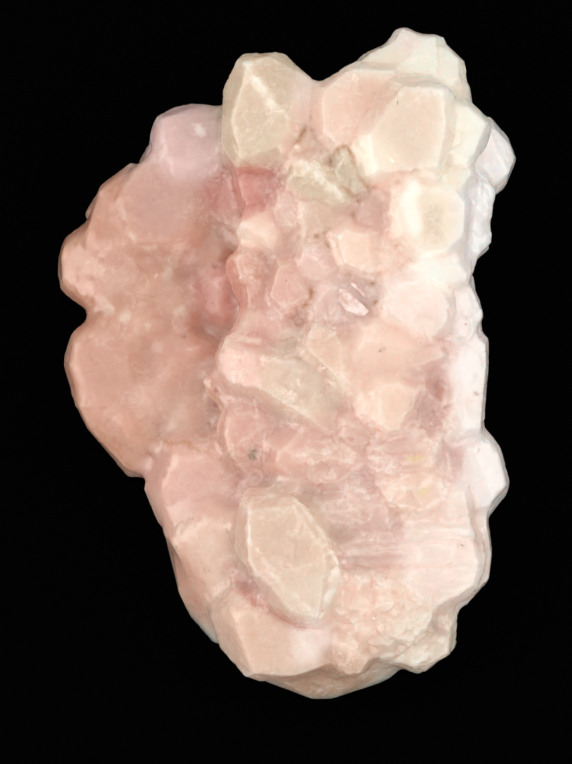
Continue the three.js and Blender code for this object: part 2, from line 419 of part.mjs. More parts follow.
// A lump of massive quartz with uneven broken facets. Corners that lie together stray together.
function lumpGeometry({ at, half }, random) {
  const geometry = weld(new THREE.IcosahedronGeometry(1, LUMP_DETAIL));
  const position = geometry.getAttribute("position");
  const corner = new THREE.Vector3();
  for (let i = 0; i < position.count; i++) {
    corner.fromBufferAttribute(position, i).multiplyScalar(1 + LUMP_UNEVEN * (2 * random() - 1));
    corner.multiply(new THREE.Vector3(...half)).add(new THREE.Vector3(...at));
    position.setXYZ(i, corner.x, corner.y, corner.z);
  }
  return geometry;
}

// The small crystals that cover the lumps between the crystals that stand out, whose faces are
// given.
function fillCrystals(standing) {
  const random = randomFrom(FILL_SEED);
  const between = ([least, most]) => least + (most - least) * random();
  const feet = [];
  const crystals = [];
  LUMPS.forEach((lump, own) => {
    const at = new THREE.Vector3(...lump.at);
    const half = new THREE.Vector3(...lump.half);
    for (let i = 0; i < FILL_TRIES; i++) {
      const height = 1 - (2 * i + 1) / FILL_TRIES;
      const ring = Math.sqrt(1 - height * height);
      const turn = i * GOLDEN_ANGLE;
      const way = new THREE.Vector3(ring * Math.cos(turn), ring * Math.sin(turn), height);
      const foot = way.clone().multiply(half).add(at);
      if (foot.clone().applyMatrix4(FACE_TO_ROW).z < FILL_LOWEST) continue;
      if (LUMPS.some((other, k) => k !== own && isInLump(foot, other))) continue;
      if (feet.some((other) => other.distanceTo(foot) < FILL_SPACING)) continue;
      if (standing.some((planes) => isWithin(FILL_CLEAR, foot, planes))) continue;
      feet.push(foot);
      const sway = new THREE.Vector3(random() - 0.5, random() - 0.5, random() - 0.5)
        .multiplyScalar(2 * Math.tan(radians(FILL_SWAY)));
      const axis = way.clone().divide(half).normalize().add(sway).normalize();
      const girth = between(FILL_GIRTH);
      const lean = tiltOf(axis);
      const caps = [tiltOf(axis.clone().add(sway.negate()))];
      const head = foot.clone().addScaledVector(axis, between(FILL_STANDS)).toArray();
      const spin = 60 * random();
      const flat = between(FILL_FLAT);
      crystals.push({ head, lean, caps, girth: [girth, girth], spin, length: FILL_LENGTH, flat });
    }
  });
  return crystals;
}

// Whether a point lies inside the body that the planes shut in, or no further than this out of it.
function isWithin(distance, point, planes) {
  return planes.every((plane) => plane.distanceToPoint(point) < distance);
}

// Whether a point lies inside a lump.
function isInLump(point, { at, half }) {
  return point.clone().sub(new THREE.Vector3(...at)).divide(new THREE.Vector3(...half)).length() < 1;
}

// ---- joining ----

// The geometry with only its places kept and the corners that lie together made one.
function weld(geometry) {
  geometry.deleteAttribute("normal");
  geometry.deleteAttribute("uv");
  return mergeVertices(geometry);
}

function solidOf(geometry) {
  const welded = weld(geometry);
  return new wasm.Manifold(new wasm.Mesh({
    numProp: 3,
    vertProperties: welded.getAttribute("position").array,
    triVerts: new Uint32Array(welded.index.array),
  }));
}

function geometryOf(solid) {
  const { vertProperties, triVerts } = solid.getMesh();
  return new THREE.BufferGeometry()
    .setAttribute("position", new THREE.BufferAttribute(vertProperties, 3))
    .setIndex(new THREE.BufferAttribute(triVerts, 1));
}

// All the lumps and crystals as one solid, broken off flat underneath. Small pockets shut in
// between the crystals are filled: only the body that holds the rest is kept.
function clusterGeometry() {
  const facesOf = (crystal, i) => crystalPlanes(crystal, randomFrom(CRYSTAL_SEED + i));
  const standing = CRYSTALS.map(facesOf);
  const small = fillCrystals(standing).map((crystal, i) => facesOf(crystal, CRYSTALS.length + i));
  const shapes = [
    ...LUMPS.map((lump, i) => lumpGeometry(lump, randomFrom(i + 1))),
    ...[...standing, ...small].map((planes) => new ConvexGeometry(cornersOf(planes))),
  ];
  const grown = wasm.Manifold.union(shapes.map((shape) => solidOf(shape.applyMatrix4(FACE_TO_ROW))));
  const kept = new THREE.BoxGeometry(ROOM, ROOM, ROOM).translate(0, 0, ROOM / 2);
  const bodies = grown.intersect(solidOf(kept)).decompose();
  return geometryOf(bodies.reduce((most, body) => (body.volume() > most.volume() ? body : most)));
}

// ---- the part ----

const geometry = clusterGeometry();
geometry.computeBoundingBox();
const middle = geometry.boundingBox.getCenter(new THREE.Vector3());

const quartz = new THREE.MeshStandardMaterial({ color: COLOUR, roughness: 0.25, metalness: 0 });
const cluster = new THREE.Mesh(geometry, quartz);
cluster.name = "rose_quartz_cluster";
cluster.position.set(-middle.x, -middle.y, 0);

const part = new THREE.Group();
part.add(cluster);

export default part;
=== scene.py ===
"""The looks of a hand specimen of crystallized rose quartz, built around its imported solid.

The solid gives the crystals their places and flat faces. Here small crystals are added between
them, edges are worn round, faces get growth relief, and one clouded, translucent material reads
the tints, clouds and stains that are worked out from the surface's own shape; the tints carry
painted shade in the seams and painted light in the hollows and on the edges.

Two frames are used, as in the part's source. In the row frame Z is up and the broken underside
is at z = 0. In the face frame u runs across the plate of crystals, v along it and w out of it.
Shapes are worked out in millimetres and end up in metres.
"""

import math

import bpy
import numpy as np
from mathutils import Matrix, Vector
from mathutils.bvhtree import BVHTree
from mathutils.kdtree import KDTree


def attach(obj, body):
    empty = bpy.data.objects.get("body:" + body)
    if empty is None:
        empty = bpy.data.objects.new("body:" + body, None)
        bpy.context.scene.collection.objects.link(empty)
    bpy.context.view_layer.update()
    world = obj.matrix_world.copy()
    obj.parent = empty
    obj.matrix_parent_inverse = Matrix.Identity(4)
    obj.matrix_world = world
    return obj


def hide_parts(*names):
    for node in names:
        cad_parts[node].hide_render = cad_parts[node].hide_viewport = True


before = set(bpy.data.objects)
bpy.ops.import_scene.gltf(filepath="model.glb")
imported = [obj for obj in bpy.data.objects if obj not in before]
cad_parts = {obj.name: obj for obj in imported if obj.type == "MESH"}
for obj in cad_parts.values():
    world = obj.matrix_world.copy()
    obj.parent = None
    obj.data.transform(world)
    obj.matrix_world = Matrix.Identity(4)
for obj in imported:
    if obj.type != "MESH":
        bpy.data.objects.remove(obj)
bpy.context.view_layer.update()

NODE = "rose_quartz_cluster"
MM = 0.001

# ---- the face frame ----

FACE_LEAN = math.radians(15)
FACE_ORIGIN = Vector((0.09, -2.07, 18.5))
FACE_TO_ROW = Matrix.Translation(FACE_ORIGIN) @ Matrix.Rotation(FACE_LEAN, 4, "X")
FACE_AXES = np.array(FACE_TO_ROW.to_3x3())


def face_places(points):
    """Row places in millimetres as (u, v, w)."""
    return (points - np.array(FACE_ORIGIN)) @ FACE_AXES


def row_place(u, v, w):
    """A face place as a row place, both in millimetres."""
    return FACE_TO_ROW @ Vector((u, v, w))


def tilted(tilt, heading):
    """A unit vector in the row frame, tilted from w towards a heading that turns from u to v."""
    across = math.sin(math.radians(tilt))
    along = Vector((across * math.cos(math.radians(heading)),
                    across * math.sin(math.radians(heading)),
                    math.cos(math.radians(tilt))))
    return FACE_TO_ROW.to_3x3() @ along


# ---- surfaces as arrays ----

def arrays_of(mesh):
    """Places, vertex normals and edges of a mesh."""
    places = np.empty(len(mesh.vertices) * 3, np.float32)
    mesh.vertices.foreach_get("co", places)
    normals = np.empty(len(mesh.vertices) * 3, np.float32)
    mesh.vertex_normals.foreach_get("vector", normals)
    edges = np.empty(len(mesh.edges) * 2, np.int32)
    mesh.edges.foreach_get("vertices", edges)
    return places.reshape(-1, 3).astype(float), normals.reshape(-1, 3).astype(float), edges.reshape(-1, 2)


def triangles_of(mesh):
    mesh.calc_loop_triangles()
    corners = np.empty(len(mesh.loop_triangles) * 3, np.int32)
    mesh.loop_triangles.foreach_get("vertices", corners)
    return corners.reshape(-1, 3)


def move_to(mesh, places):
    mesh.vertices.foreach_set("co", places.astype(np.float32).ravel())
    mesh.update()


def neighbour_mean(values, edges):
    """The mean of each place's neighbours."""
    count = len(values)
    start, end = edges[:, 0], edges[:, 1]
    degree = np.maximum(np.bincount(start, minlength=count) + np.bincount(end, minlength=count), 1)
    mean = np.empty(values.reshape(count, -1).shape)
    for k, column in enumerate(values.reshape(count, -1).T):
        total = np.bincount(start, column[end], count) + np.bincount(end, column[start], count)
        mean[:, k] = total / degree
    return mean.reshape(values.shape)


def smoothed(values, edges, times, share=0.5):
    """Values drawn a share of the way to their neighbours' mean, again and again."""
    for _ in range(times):
        values = values + share * (neighbour_mean(values, edges) - values)
    return values


def nearest_of(points, others):
    """For each place, which of the others is nearest."""
    tree = KDTree(len(others))
    for i, other in enumerate(others):
        tree.insert(other, i)
    tree.balance()
    return np.array([tree.find(point)[1] for point in points])


def between(grid_value, spot):
    """What grid_value gives at whole places, blended smoothly at the places between them."""
    base = np.floor(spot).astype(np.int64)
    part = spot - base
    part = part * part * (3 - 2 * part)
    total = np.zeros(len(spot))
    for corner in np.ndindex(2, 2, 2):
        weight = np.prod(np.where(np.array(corner) == 1, part, 1 - part), axis=1)
        total += weight * grid_value(base + corner)
    return total


NOISE_TURN = np.array(Matrix.Rotation(0.7, 3, Vector((1, 2, 3))))
NOISE_SHIFT = 500  # keeps whole places positive

# What varies from place to place: the size of its humps, its seed and how many layers it has.
GRAIN = {
    "wave": (1.9, 3, 3),
    "line sway": (2.5, 5, 1),
    "chip": (0.8, 13, 2),
    "ledge": (2.6, 21, 2),
    "line": (3.0, 31, 1),
    "calm": (5.0, 33, 2),
    "crowd": (4.0, 47, 2),
    "rim_highlight": (2.2, 51, 3),
    "patchy": (0.9, 57, 3),
    "wear": (2.0, 61, 3),
    "mottle": (3.2, 63, 3),
    "cloud": (2.4, 71, 3),
    "wander u": (0.9, 81, 1),
    "wander v": (0.9, 82, 1),
    "shine": (3.5, 91, 2),
}
MOSAIC_SEED = 41
MOSAIC_STRAY = 0.4  # how far a small face's middle lies off its cell's middle, at most, in cells


def hashed(cells, seed):
    """A random value from -1 to 1 for each whole place."""
    x, y, z = cells.T.astype(np.uint32)
    mixed = x * np.uint32(73856093) ^ y * np.uint32(19349663) ^ z * np.uint32(83492791)
    mixed = (mixed ^ np.uint32(seed * 7919)) * np.uint32(2654435769)
    mixed = (mixed ^ (mixed >> np.uint32(13))) * np.uint32(1274126177)
    return (mixed ^ (mixed >> np.uint32(16))) / 2147483648.0 - 1


def noise(points, cell, seed):
    """Smooth random values from -1 to 1, with humps about a cell across."""
    return between(lambda cells: hashed(cells, seed), (points @ NOISE_TURN) / cell + NOISE_SHIFT)


def mosaic(points, cell, seed):
    """Small tilted faces that fill space: each place's height on its face, and how near an edge it is."""
    spot = (points @ NOISE_TURN) / cell + NOISE_SHIFT
    base = np.floor(spot).astype(np.int64)
    first = np.full(len(spot), np.inf)
    second = first.copy()
    height = np.zeros(len(spot))
    for step in np.ndindex(3, 3, 3):
        cells = base + np.array(step) - 1
        middle = cells + 0.5 + MOSAIC_STRAY * np.column_stack([hashed(cells, seed + k) for k in range(3)])
        slope = np.column_stack([hashed(cells, seed + 3 + k) for k in range(3)])
        away = spot - middle
        distance = np.sqrt((away * away).sum(1))
        nearer = distance < first
        second = np.where(nearer, first, np.minimum(second, distance))
        height = np.where(nearer, (away * slope).sum(1) * cell, height)
        first = np.minimum(first, distance)
    return height, 0.5 * cell * (second - first)


def grain(points, name):
    """Noise with finer and weaker noise on it."""
    cell, seed, layers = GRAIN[name]
    return sum(noise(points, cell / 2 ** k, seed + k) / 2 ** k for k in range(layers))


def ramp(values, low, high):
    """0 below low, 1 above high and smooth between them."""
    part = np.clip((values - low) / (high - low), 0, 1)
    return part * part * (3 - 2 * part)


# ---- marks ----

# Lines and spots in the face frame: a path, half its width, its tint and how strong it is.
MARKS = [
    # a thin crack on the left
    {"path": [(-13.5, -7.2), (-12.3, -8.3), (-10.3, -8), (-9, -9)],
     "width": 0.16, "tint": "rust", "share": 0.5},
    # spots
    {"path": [(-3.6, -9.4), (-3.5, -9.2)], "width": 0.42, "tint": "olive", "share": 0.75},
    {"path": [(9.8, 1.7), (9.9, 1.6)], "width": 0.22, "tint": "wine", "share": 0.7},
    {"path": [(19.7, -3), (19.8, -3.1)], "width": 0.22, "tint": "wine", "share": 0.7},
    {"path": [(-7.5, 10.3), (-7.4, 10.2)], "width": 0.2, "tint": "wine", "share": 0.6},
    {"path": [(-10.8, 3.1), (-10.7, 3)], "width": 0.2, "tint": "wine", "share": 0.5},
    {"path": [(-7.4, -2.7), (-7.3, -2.8)], "width": 0.2, "tint": "wine", "share": 0.6},
    {"path": [(12.8, -9.6), (13.4, -9.8), (14, -9.6)], "width": 0.3, "tint": "lemon", "share": 0.5},
    {"path": [(14, -13.4), (14.5, -12.9)], "width": 0.35, "tint": "lemon", "share": 0.35},
    # deep pink seams and recesses, darker there as painted shade
    {"path": [(15.8, -1), (16.6, -2.4), (16, -5), (14.4, -6.5)],
     "width": 0.8, "tint": "deep", "share": 0.3},
    {"path": [(-6, -21), (-3, -25), (1.5, -27)], "width": 0.6, "tint": "deep", "share": 0.5},
    {"path": [(9, -9.2), (11.6, -9.4), (14, -9.1)], "width": 0.3, "tint": "deep", "share": 0.25},
    {"path": [(-1, -13.4), (2.4, -13.2), (6, -13.7)], "width": 0.35, "tint": "salmon", "share": 0.25},
    {"path": [(-7, 16.4), (-3, 18.6)], "width": 1.6, "tint": "deep", "share": 0.3},
    {"path": [(15.6, -27.2), (16.3, -27.8)], "width": 0.6, "tint": "wine", "share": 0.4},
    # the whitest block, its left bevel painted white as the glow of light passing through, with a clearer
    # middle
    {"path": [(13, 18.6), (12.7, 16.6), (13.3, 14.2)], "width": 0.8, "tint": "frost", "share": 0.8},
    {"path": [(14.6, 10.6), (15.9, 9.2)], "width": 0.9, "tint": "frost", "share": 0.8},
    {"path": [(15.3, 15.6), (15.1, 13.4)], "width": 0.9, "tint": "wheat", "share": 0.45},
    {"path": [(4.6, -30.6), (8, -32.4)], "width": 1.3, "tint": "clay", "share": 0.7},
]

# Bright streaks, rims and clouded bands, broken along their way.
# The streaks along crystals' edges and the rims along the outline are painted highlight; the clouded bands
# are the quartz's own.
STREAKS = [
    {"path": [(-3.9, 31.2), (-3.2, 29.2), (-2.0, 27.8), (-0.9, 26.2)],
     "width": 0.45, "tint": "milk", "share": 0.6},
    {"path": [(1.6, 21.0), (3.2, 19.9), (4.2, 18.5), (6.2, 17.0)],
     "width": 0.4, "tint": "milk", "share": 0.5},
    {"path": [(19.6, 1.6), (19.4, -7)], "width": 1.1, "tint": "shell", "share": 0.2},
    {"path": [(21, -20), (20.6, -22.2), (19.5, -24)], "width": 0.5, "tint": "milk", "share": 0.4},
    {"path": [(-3.7, -14.4), (-1.6, -13.5), (0.9, -13.9), (3.6, -17.2), (5, -20)],
     "width": 0.24, "tint": "frost", "share": 0.45},
    {"path": [(5.1, -20.3), (4.7, -23.2), (3.4, -25.8)], "width": 0.4, "tint": "frost", "share": 0.6},
    {"path": [(-3.8, -14.6), (-3.9, -18.2), (-1.6, -21.4), (1, -24), (3.2, -25.8)],
     "width": 0.2, "tint": "frost", "share": 0.35},
    {"path": [(-6.8, 2), (-5.6, 3), (-2.8, 2.4)], "width": 0.3, "tint": "milk", "share": 0.5},
    {"path": [(-17.7, 17.2), (-16.5, 15), (-15.7, 12.3), (-13.8, 12.3)],
     "width": 0.25, "tint": "cream", "share": 0.6},
    {"path": [(0.4, -0.6), (4.6, -2.8)], "width": 1.2, "tint": "frost", "share": 0.15},
    {"path": [(-17, 5), (-16.7, 5.2)], "width": 0.5, "tint": "cream", "share": 0.6},
    {"path": [(-14.5, 4), (-14.2, 4.1)], "width": 0.6, "tint": "cream", "share": 0.6},
    {"path": [(-11.2, 5.3), (-10.8, 5.7)], "width": 0.5, "tint": "cream", "share": 0.6},
    {"path": [(-12.6, 9.4), (-12.4, 9.8)], "width": 0.5, "tint": "cream", "share": 0.5},
    {"path": [(-16.3, 10.6), (-16.1, 10.5)], "width": 0.45, "tint": "cream", "share": 0.5},
    {"path": [(-12.1, 11), (-11.8, 10.6)], "width": 0.4, "tint": "cream", "share": 0.5},
    {"path": [(-18.8, 5.9), (-18.4, 5.7)], "width": 0.45, "tint": "cream", "share": 0.45},
    {"path": [(-9.2, 24.9), (-8.8, 24.4)], "width": 0.4, "tint": "frost", "share": 0.6},
    {"path": [(10.4, -30.6), (14.6, -30.6)], "width": 0.6, "tint": "milk", "share": 0.5},
]

# Where the seams hold iron stain: middle, reach and how strong it is.
STAINS = [
    ((1.8, 24.4), 2.2, 0.7), ((5.6, 21.6), 2.2, 0.7), ((7.4, 17.2), 2.6, 0.8),
    ((11.4, 19.8), 1.4, 0.6), ((9.2, 7.4), 1.6, 0.9), ((2.4, 7), 1.6, 0.8),
    ((4, 13), 1.6, 0.7), ((6.6, 10.4), 2.0, 0.4), ((14.8, 15.8), 1.2, 0.5),
]

# Where the quartz is free of veils: middle and reach.
CLEAR = [((-4.6, 17.4), 3.4), ((-7.4, 11.6), 3.6), ((-6.4, 6.6), 3.6)]

# Where the crystals' borders hardly show: middle and reach.
SEAMLESS = [((15.3, -19.2), 4.5), ((12, 33), 4.0), ((18, 28), 4.0), ((20.6, 14), 4.0)]

# Patches where small crystals crowd: middle and reach.
DRUSE = [
    ((9.6, -25.4), 6.0), ((14.4, -28.4), 4.0), ((15.4, -5), 4.0), ((6.6, -11.4), 6.5), ((18.2, 3.8), 3.0),
    ((3, 4.4), 3.5), ((2, -2), 3.5), ((4.6, 20), 3.5), ((11, -13), 4.0),
]

# Steps and scored lines: a path, half its width and how deep it cuts.
GROOVES = [
    {"path": [(11.6, -16.6), (20, -16.5)], "width": 0.3, "depth": 0.12},
    {"path": [(11.8, -18.2), (20.4, -18.1)], "width": 0.3, "depth": 0.14},
    {"path": [(11.8, -20.8), (20.2, -20.9)], "width": 0.3, "depth": 0.14},
    {"path": [(4, -18.9), (11.6, -18.7)], "width": 0.25, "depth": 0.1},
    {"path": [(4.4, -20), (11.8, -19.8)], "width": 0.25, "depth": 0.1},
    {"path": [(5, -21), (12, -20.9)], "width": 0.25, "depth": 0.1},
    {"path": [(9, -9.2), (14, -9.1)], "width": 0.3, "depth": 0.12},
    {"path": [(-1, -13.4), (6, -13.6)], "width": 0.3, "depth": 0.08},
    {"path": [(0.6, -13.4), (1.6, -16), (0.8, -20)], "width": 0.2, "depth": 0.08},
]

WANDER = 0.15  # how far marks and grooves stray


def wandering(places):
    """Places across the face, each moved a little, so that marks aren't drawn with a ruler."""
    return places[:, :2] + WANDER * np.column_stack([grain(places, "wander u"), grain(places, "wander v")])


def nearness(spot, facing, path, width):
    """1 on a path across the face, falling to 0 past its width, on what faces outward."""
    distance = np.full(len(spot), np.inf)
    for start, end in zip(path[:-1], path[1:]):
        start, along = np.array(start), np.array(end) - np.array(start)
        part = np.clip(((spot - start) @ along) / (along @ along), 0, 1)
        distance = np.minimum(distance, np.linalg.norm(spot - start - part[:, None] * along, axis=1))
    return (1 - ramp(distance, 0.5 * width, 1.5 * width)) * ramp(facing, 0.05, 0.3)


# ---- the quartz's shape ----

COARSE_VOXEL = 0.2
VOXEL = 0.15
GROWN_SHUT = 0.4  # gaps between crystals up to twice this wide have grown shut
SILTED = (4, 9)  # turns and rounds in which what is left of the gaps fills up
SILT_SHARE = 0.8  # how far each round raises a low place
HEAL_ROUNDS = 40
CALM_ROUNDS = 110  # further rounds where the crystals form one smooth mass
PIT_DEPTH = (0.14, 0.4)
WORN = 5  # rounds of smoothing that wear the edges
WEAR = (0.05, 0.6)  # least and most share of each round, from place to place
MOST_TRIANGLES = 190000

# Relief, as how high or deep each kind is.
UNDULATION = 0.04
CHIPPING = 0.03
TERRACE = 0.035
LEDGES = 3.2  # how many ledges a hump has
STRIATION = 0.02
STRIATION_EVERY = 0.55
SEAM_DEPTH = 0.06
MOSAIC = 0.085
MOSAIC_CUT = 0.025
MOSAIC_CELL = 1.8
RELIEF_FOOT = (0.3, 1.2)  # heights over the broken underside between which relief sets in

# How strongly the mosaic shows: everywhere, more in waves and among small crystals, less where calm.
MOSAIC_LEAST = 0.25
MOSAIC_WAVES = 0.5
MOSAIC_DRUSE = 1.4
MOSAIC_CALMED = 0.7

SEAM_WIDTH = 0.16
RIM_WIDTH = 0.16
CALM_BORDERLESS = 0.9  # how far the smooth mass hides the crystals' borders
PATCH_BORDERLESS = 0.8  # how far the seamless patches do
LEAST_DETAIL = 0.6  # how much fine detail is kept away from borders, as a share of that on them

# The smooth mass on the left ends between these places in u, and between these in v.
CALM_SIDE = (-10, -4.5)
CALM_FOOT = (-33, -28)
CALM_STRAYS = 1.5
CALM_SHARE = 0.75
CALM_SHARE_LATER = 0.9
PIT_SHARE = 0.6

# Wearing and healing draw the skin in, so the solid is first spread this much in x and y.
SPREAD = (1.016, 1.014)
# Where outlines are moved: a face place, how far around it, and the push in u and v.
PUSHES = [
    ((23.0, 20.8), 2.0, (0.25, 0.1)), ((-15.4, -11.8), 1.3, (-0.9, -0.5)),
    ((-13, -18.5), 2.2, (-0.2, -0.1)), ((-4.6, -31), 2.2, (-0.3, -0.35)),
    ((11, -31.8), 3.0, (0.2, -0.4)), ((20.6, -22), 2.0, (0.4, -0.2)),
    ((5.6, -33.6), 2.2, (0.0, -0.3)), ((-12.5, 25.5), 1.8, (-0.3, 0.3)),
    ((-6.7, 27), 1.4, (0.3, 0.0)), ((4.2, -26.6), 1.3, (-0.7, 0.8)),
    ((5.9, -20.6), 1.2, (-0.7, 0.3)),
]

EDGE_TURN = math.cos(math.radians(18))  # flatter edges than this aren't marked
EDGE_STEP = 0.1
EDGE_WITHIN = 1.2  # how far under or over the skin an edge still shows


def base_surface():
    """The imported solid's corners, each once, and its triangles, in millimetres."""
    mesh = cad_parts[NODE].data
    loose = arrays_of(mesh)[0] / MM
    points, number = np.unique(np.round(loose, 4), axis=0, return_inverse=True)
    for (u, v), reach, push in PUSHES:
        u_now, v_now, _ = face_places(points).T
        near = np.exp(-((u_now - u) ** 2 + (v_now - v) ** 2) / (2 * reach ** 2))
        points = points + near[:, None] * (push[0] * FACE_AXES[:, 0] + push[1] * FACE_AXES[:, 1])
    points[:, :2] *= SPREAD
    points[:, 2] = np.maximum(points[:, 2], 0)
    faces = number.ravel()[triangles_of(mesh)]
    whole = (faces != np.roll(faces, 1, axis=1)).all(axis=1)
    return [Vector(point) for point in points], faces[whole].tolist()


def mesh_from(name, points, faces):
    mesh = bpy.data.meshes.new(name)
    mesh.from_pydata(points, [], faces)
    mesh.update()
    return mesh


def evaluated(mesh, kind, weights=None, **settings):
    """The mesh with one modifier applied, in full only where the weights are 1."""
    holder = bpy.data.objects.new("holder", mesh)
    bpy.context.scene.collection.objects.link(holder)
    if weights is not None:
        group = holder.vertex_groups.new(name="weights")
        for level in range(1, 5):
            group.add(np.flatnonzero(np.round(weights * 4) == level).tolist(), level / 4, "REPLACE")
        settings["vertex_group"] = group.name
    modifier = holder.modifiers.new(kind, kind)
    for name, value in settings.items():
        setattr(modifier, name, value)
    graph = bpy.context.evaluated_depsgraph_get()
    made = bpy.data.meshes.new_from_object(holder.evaluated_get(graph))
    bpy.data.objects.remove(holder)
    return made


def remeshed(mesh, size):
    return evaluated(mesh, "REMESH", mode="VOXEL", voxel_size=size)


def calm_share(places):
    """1 on the left of the face, where the crystals have grown into one smooth mass."""
    side = 1 - ramp(places[:, 0] + CALM_STRAYS * grain(places, "calm"), *CALM_SIDE)
    return side * ramp(places[:, 1], *CALM_FOOT)


def healed(mesh):
    """Wears deep pits and the smooth mass down, and tells how hollow each place was."""
    points, normals, edges = arrays_of(mesh)
    depth = ((smoothed(points, edges, HEAL_ROUNDS) - points) * normals).sum(1)
    outward = ramp(normals @ FACE_AXES[:, 2], 0.15, 0.6)
    calm = CALM_SHARE * calm_share(face_places(points)) * outward
    share = np.maximum(calm, PIT_SHARE * ramp(depth, *PIT_DEPTH))
    points = smoothed(points, edges, HEAL_ROUNDS, smoothed(share, edges, 6)[:, None])
    calm = CALM_SHARE_LATER * calm_share(face_places(points)) * outward
    near = edges[(calm[edges] > 0).any(axis=1)]
    move_to(mesh, smoothed(points, near, CALM_ROUNDS, calm[:, None]))
    return depth


def silted(mesh):
    """Raises what lies lower than its surroundings, so that gaps fill and ridges stay."""
    turns, rounds = SILTED
    for _ in range(turns):
        points, normals, edges = arrays_of(mesh)
        for _ in range(rounds):
            rise = ((neighbour_mean(points, edges) - points) * normals).sum(1)
            points += normals * (SILT_SHARE * np.maximum(rise, 0))[:, None]
        move_to(mesh, points)


def grown_together(points, faces):
    """The crystals as one skin with the gaps mostly closed, and how hollow each place was."""
    swollen = remeshed(mesh_from("quartz", points, faces), COARSE_VOXEL)
    points, _, edges = arrays_of(swollen)
    move_to(swollen, smoothed(points, edges, 1))
    points, normals, _ = arrays_of(swollen)
    move_to(swollen, points + normals * GROWN_SHUT)
    skin = remeshed(swollen, VOXEL)
    points, _, edges = arrays_of(skin)
    move_to(skin, smoothed(points, edges, 2))
    points, normals, _ = arrays_of(skin)
    move_to(skin, points - normals * GROWN_SHUT)
    silted(skin)
    depth = healed(skin)
    points, _, _ = arrays_of(skin)
    wear = WEAR[0] + (WEAR[1] - WEAR[0]) * ramp(grain(points, "wear"), -0.8, 0.8)
    points = smoothed(points, edges, WORN, wear[:, None])
    points[:, 2] = np.maximum(points[:, 2], 0)
    move_to(skin, points)
    return skin, depth


def sharp_edges(points, faces, hollow):
    """Places along the solid's inward edges, or along its outward ones."""
    points = np.array(points)
    faces = np.array(faces)
    corners = points[faces]
    normals = np.cross(corners[:, 1] - corners[:, 0], corners[:, 2] - corners[:, 0])
    normals /= np.linalg.norm(normals, axis=1)[:, None] + 1e-12
    sides = {}
    for number, face in enumerate(faces.tolist()):
        for k in range(3):
            sides.setdefault(tuple(sorted((face[k], face[k - 1]))), []).append(number)
    found = []
    for (start, end), both in sides.items():
        if len(both) == 2:
            bend = normals[both[0]] @ (corners[both[1]].mean(0) - corners[both[0]].mean(0))
            turn = normals[both[0]] @ normals[both[1]]
            if turn < EDGE_TURN and (bend > 0) == hollow:
                count = int(np.linalg.norm(points[end] - points[start]) / EDGE_STEP) + 2
                steps = np.linspace(0, 1, count)[:, None]
                found.append(points[start] + steps * (points[end] - points[start]))
    return np.vstack(found)


def line_share(points, normals, line, width, within):
    """1 on the nearest of the line's places, seen along the normal, and 0 past the width."""
    away = points - line[nearest_of(points, line)]
    depth = (away * normals).sum(1)
    aside = np.sqrt(np.maximum((away * away).sum(1) - depth * depth, 0))
    return (1 - ramp(aside, 0.5 * width, 1.6 * width)) * (np.abs(depth) < within)


def patch_share(places, patches):
    """1 in the middle of a patch and 0 outside them all."""
    share = np.zeros(len(places))
    for (u, v), reach in patches:
        distance = np.hypot(places[:, 0] - u, places[:, 1] - v)
        share = np.maximum(share, 1 - ramp(distance, 0.4 * reach, reach))
    return share


def relief(points, places, facing, seam, spot, facelets):
    """How far growth and etching raise each place, along its normal."""
    wavy = UNDULATION * grain(points, "wave")
    chips = -CHIPPING * ramp(grain(points, "chip"), 0.1, 0.6)
    level = LEDGES * grain(points * np.array((1, 1, 0.5)), "ledge")
    part = level - np.floor(level)
    ledges = TERRACE * (ramp(part, 0.0, 0.12) - part)
    steep = 1 - np.abs(facing)
    lines = np.sin(2 * math.pi * (places[:, 2] + 0.25 * grain(points, "line sway")) / STRIATION_EVERY)
    lines *= STRIATION * steep * ramp(grain(points, "line"), -0.3, 0.4)
    cuts = SEAM_DEPTH * seam
    for groove in GROOVES:
        cuts += groove["depth"] * nearness(spot, facing, groove["path"], groove["width"])
    height, edge = facelets
    waves = MOSAIC_WAVES * ramp(grain(points, "crowd"), -0.4, 0.5)
    crowd = MOSAIC_LEAST + waves + MOSAIC_DRUSE * patch_share(places, DRUSE)
    crowd = (1 - MOSAIC_CALMED * calm_share(places)) * crowd
    faces = crowd * (MOSAIC * height - MOSAIC_CUT * (1 - ramp(edge, 0.02, 0.12)))
    return wavy + chips + ledges + lines + faces - cuts


# ---- the quartz's colours ----

# Reflected colours, as sRGB.
PALETTE = {
    "milk": (0.98, 0.95, 0.90),
    "ivory": (0.96, 0.92, 0.86),
    "cream": (0.89, 0.83, 0.77),
    "blush": (0.94, 0.83, 0.77),
    "pearl": (0.95, 0.88, 0.85),
    "smoke": (0.97, 0.96, 0.97),
    "peach": (0.88, 0.76, 0.69),
    "sand": (0.86, 0.77, 0.70),
    "pink": (0.87, 0.74, 0.70),
    "haze": (0.80, 0.645, 0.60),
    "rose": (0.85, 0.68, 0.63),
    "salmon": (0.81, 0.63, 0.56),
    "deep": (0.80, 0.55, 0.50),
    "clay": (0.76, 0.62, 0.53),
    "rust": (0.70, 0.46, 0.17),
    "olive": (0.53, 0.43, 0.28),
    "lemon": (0.90, 0.84, 0.56),
    "wine": (0.62, 0.40, 0.36),
    "frost": (1.0, 0.98, 0.95),
    "coral": (0.785, 0.59, 0.505),
    "shell": (0.97, 0.90, 0.88),
    "wheat": (0.825, 0.755, 0.665),
    "petal": (0.865, 0.715, 0.665),
    "opal": (0.955, 0.92, 0.915),
    "lilac": (0.84, 0.72, 0.71),
}
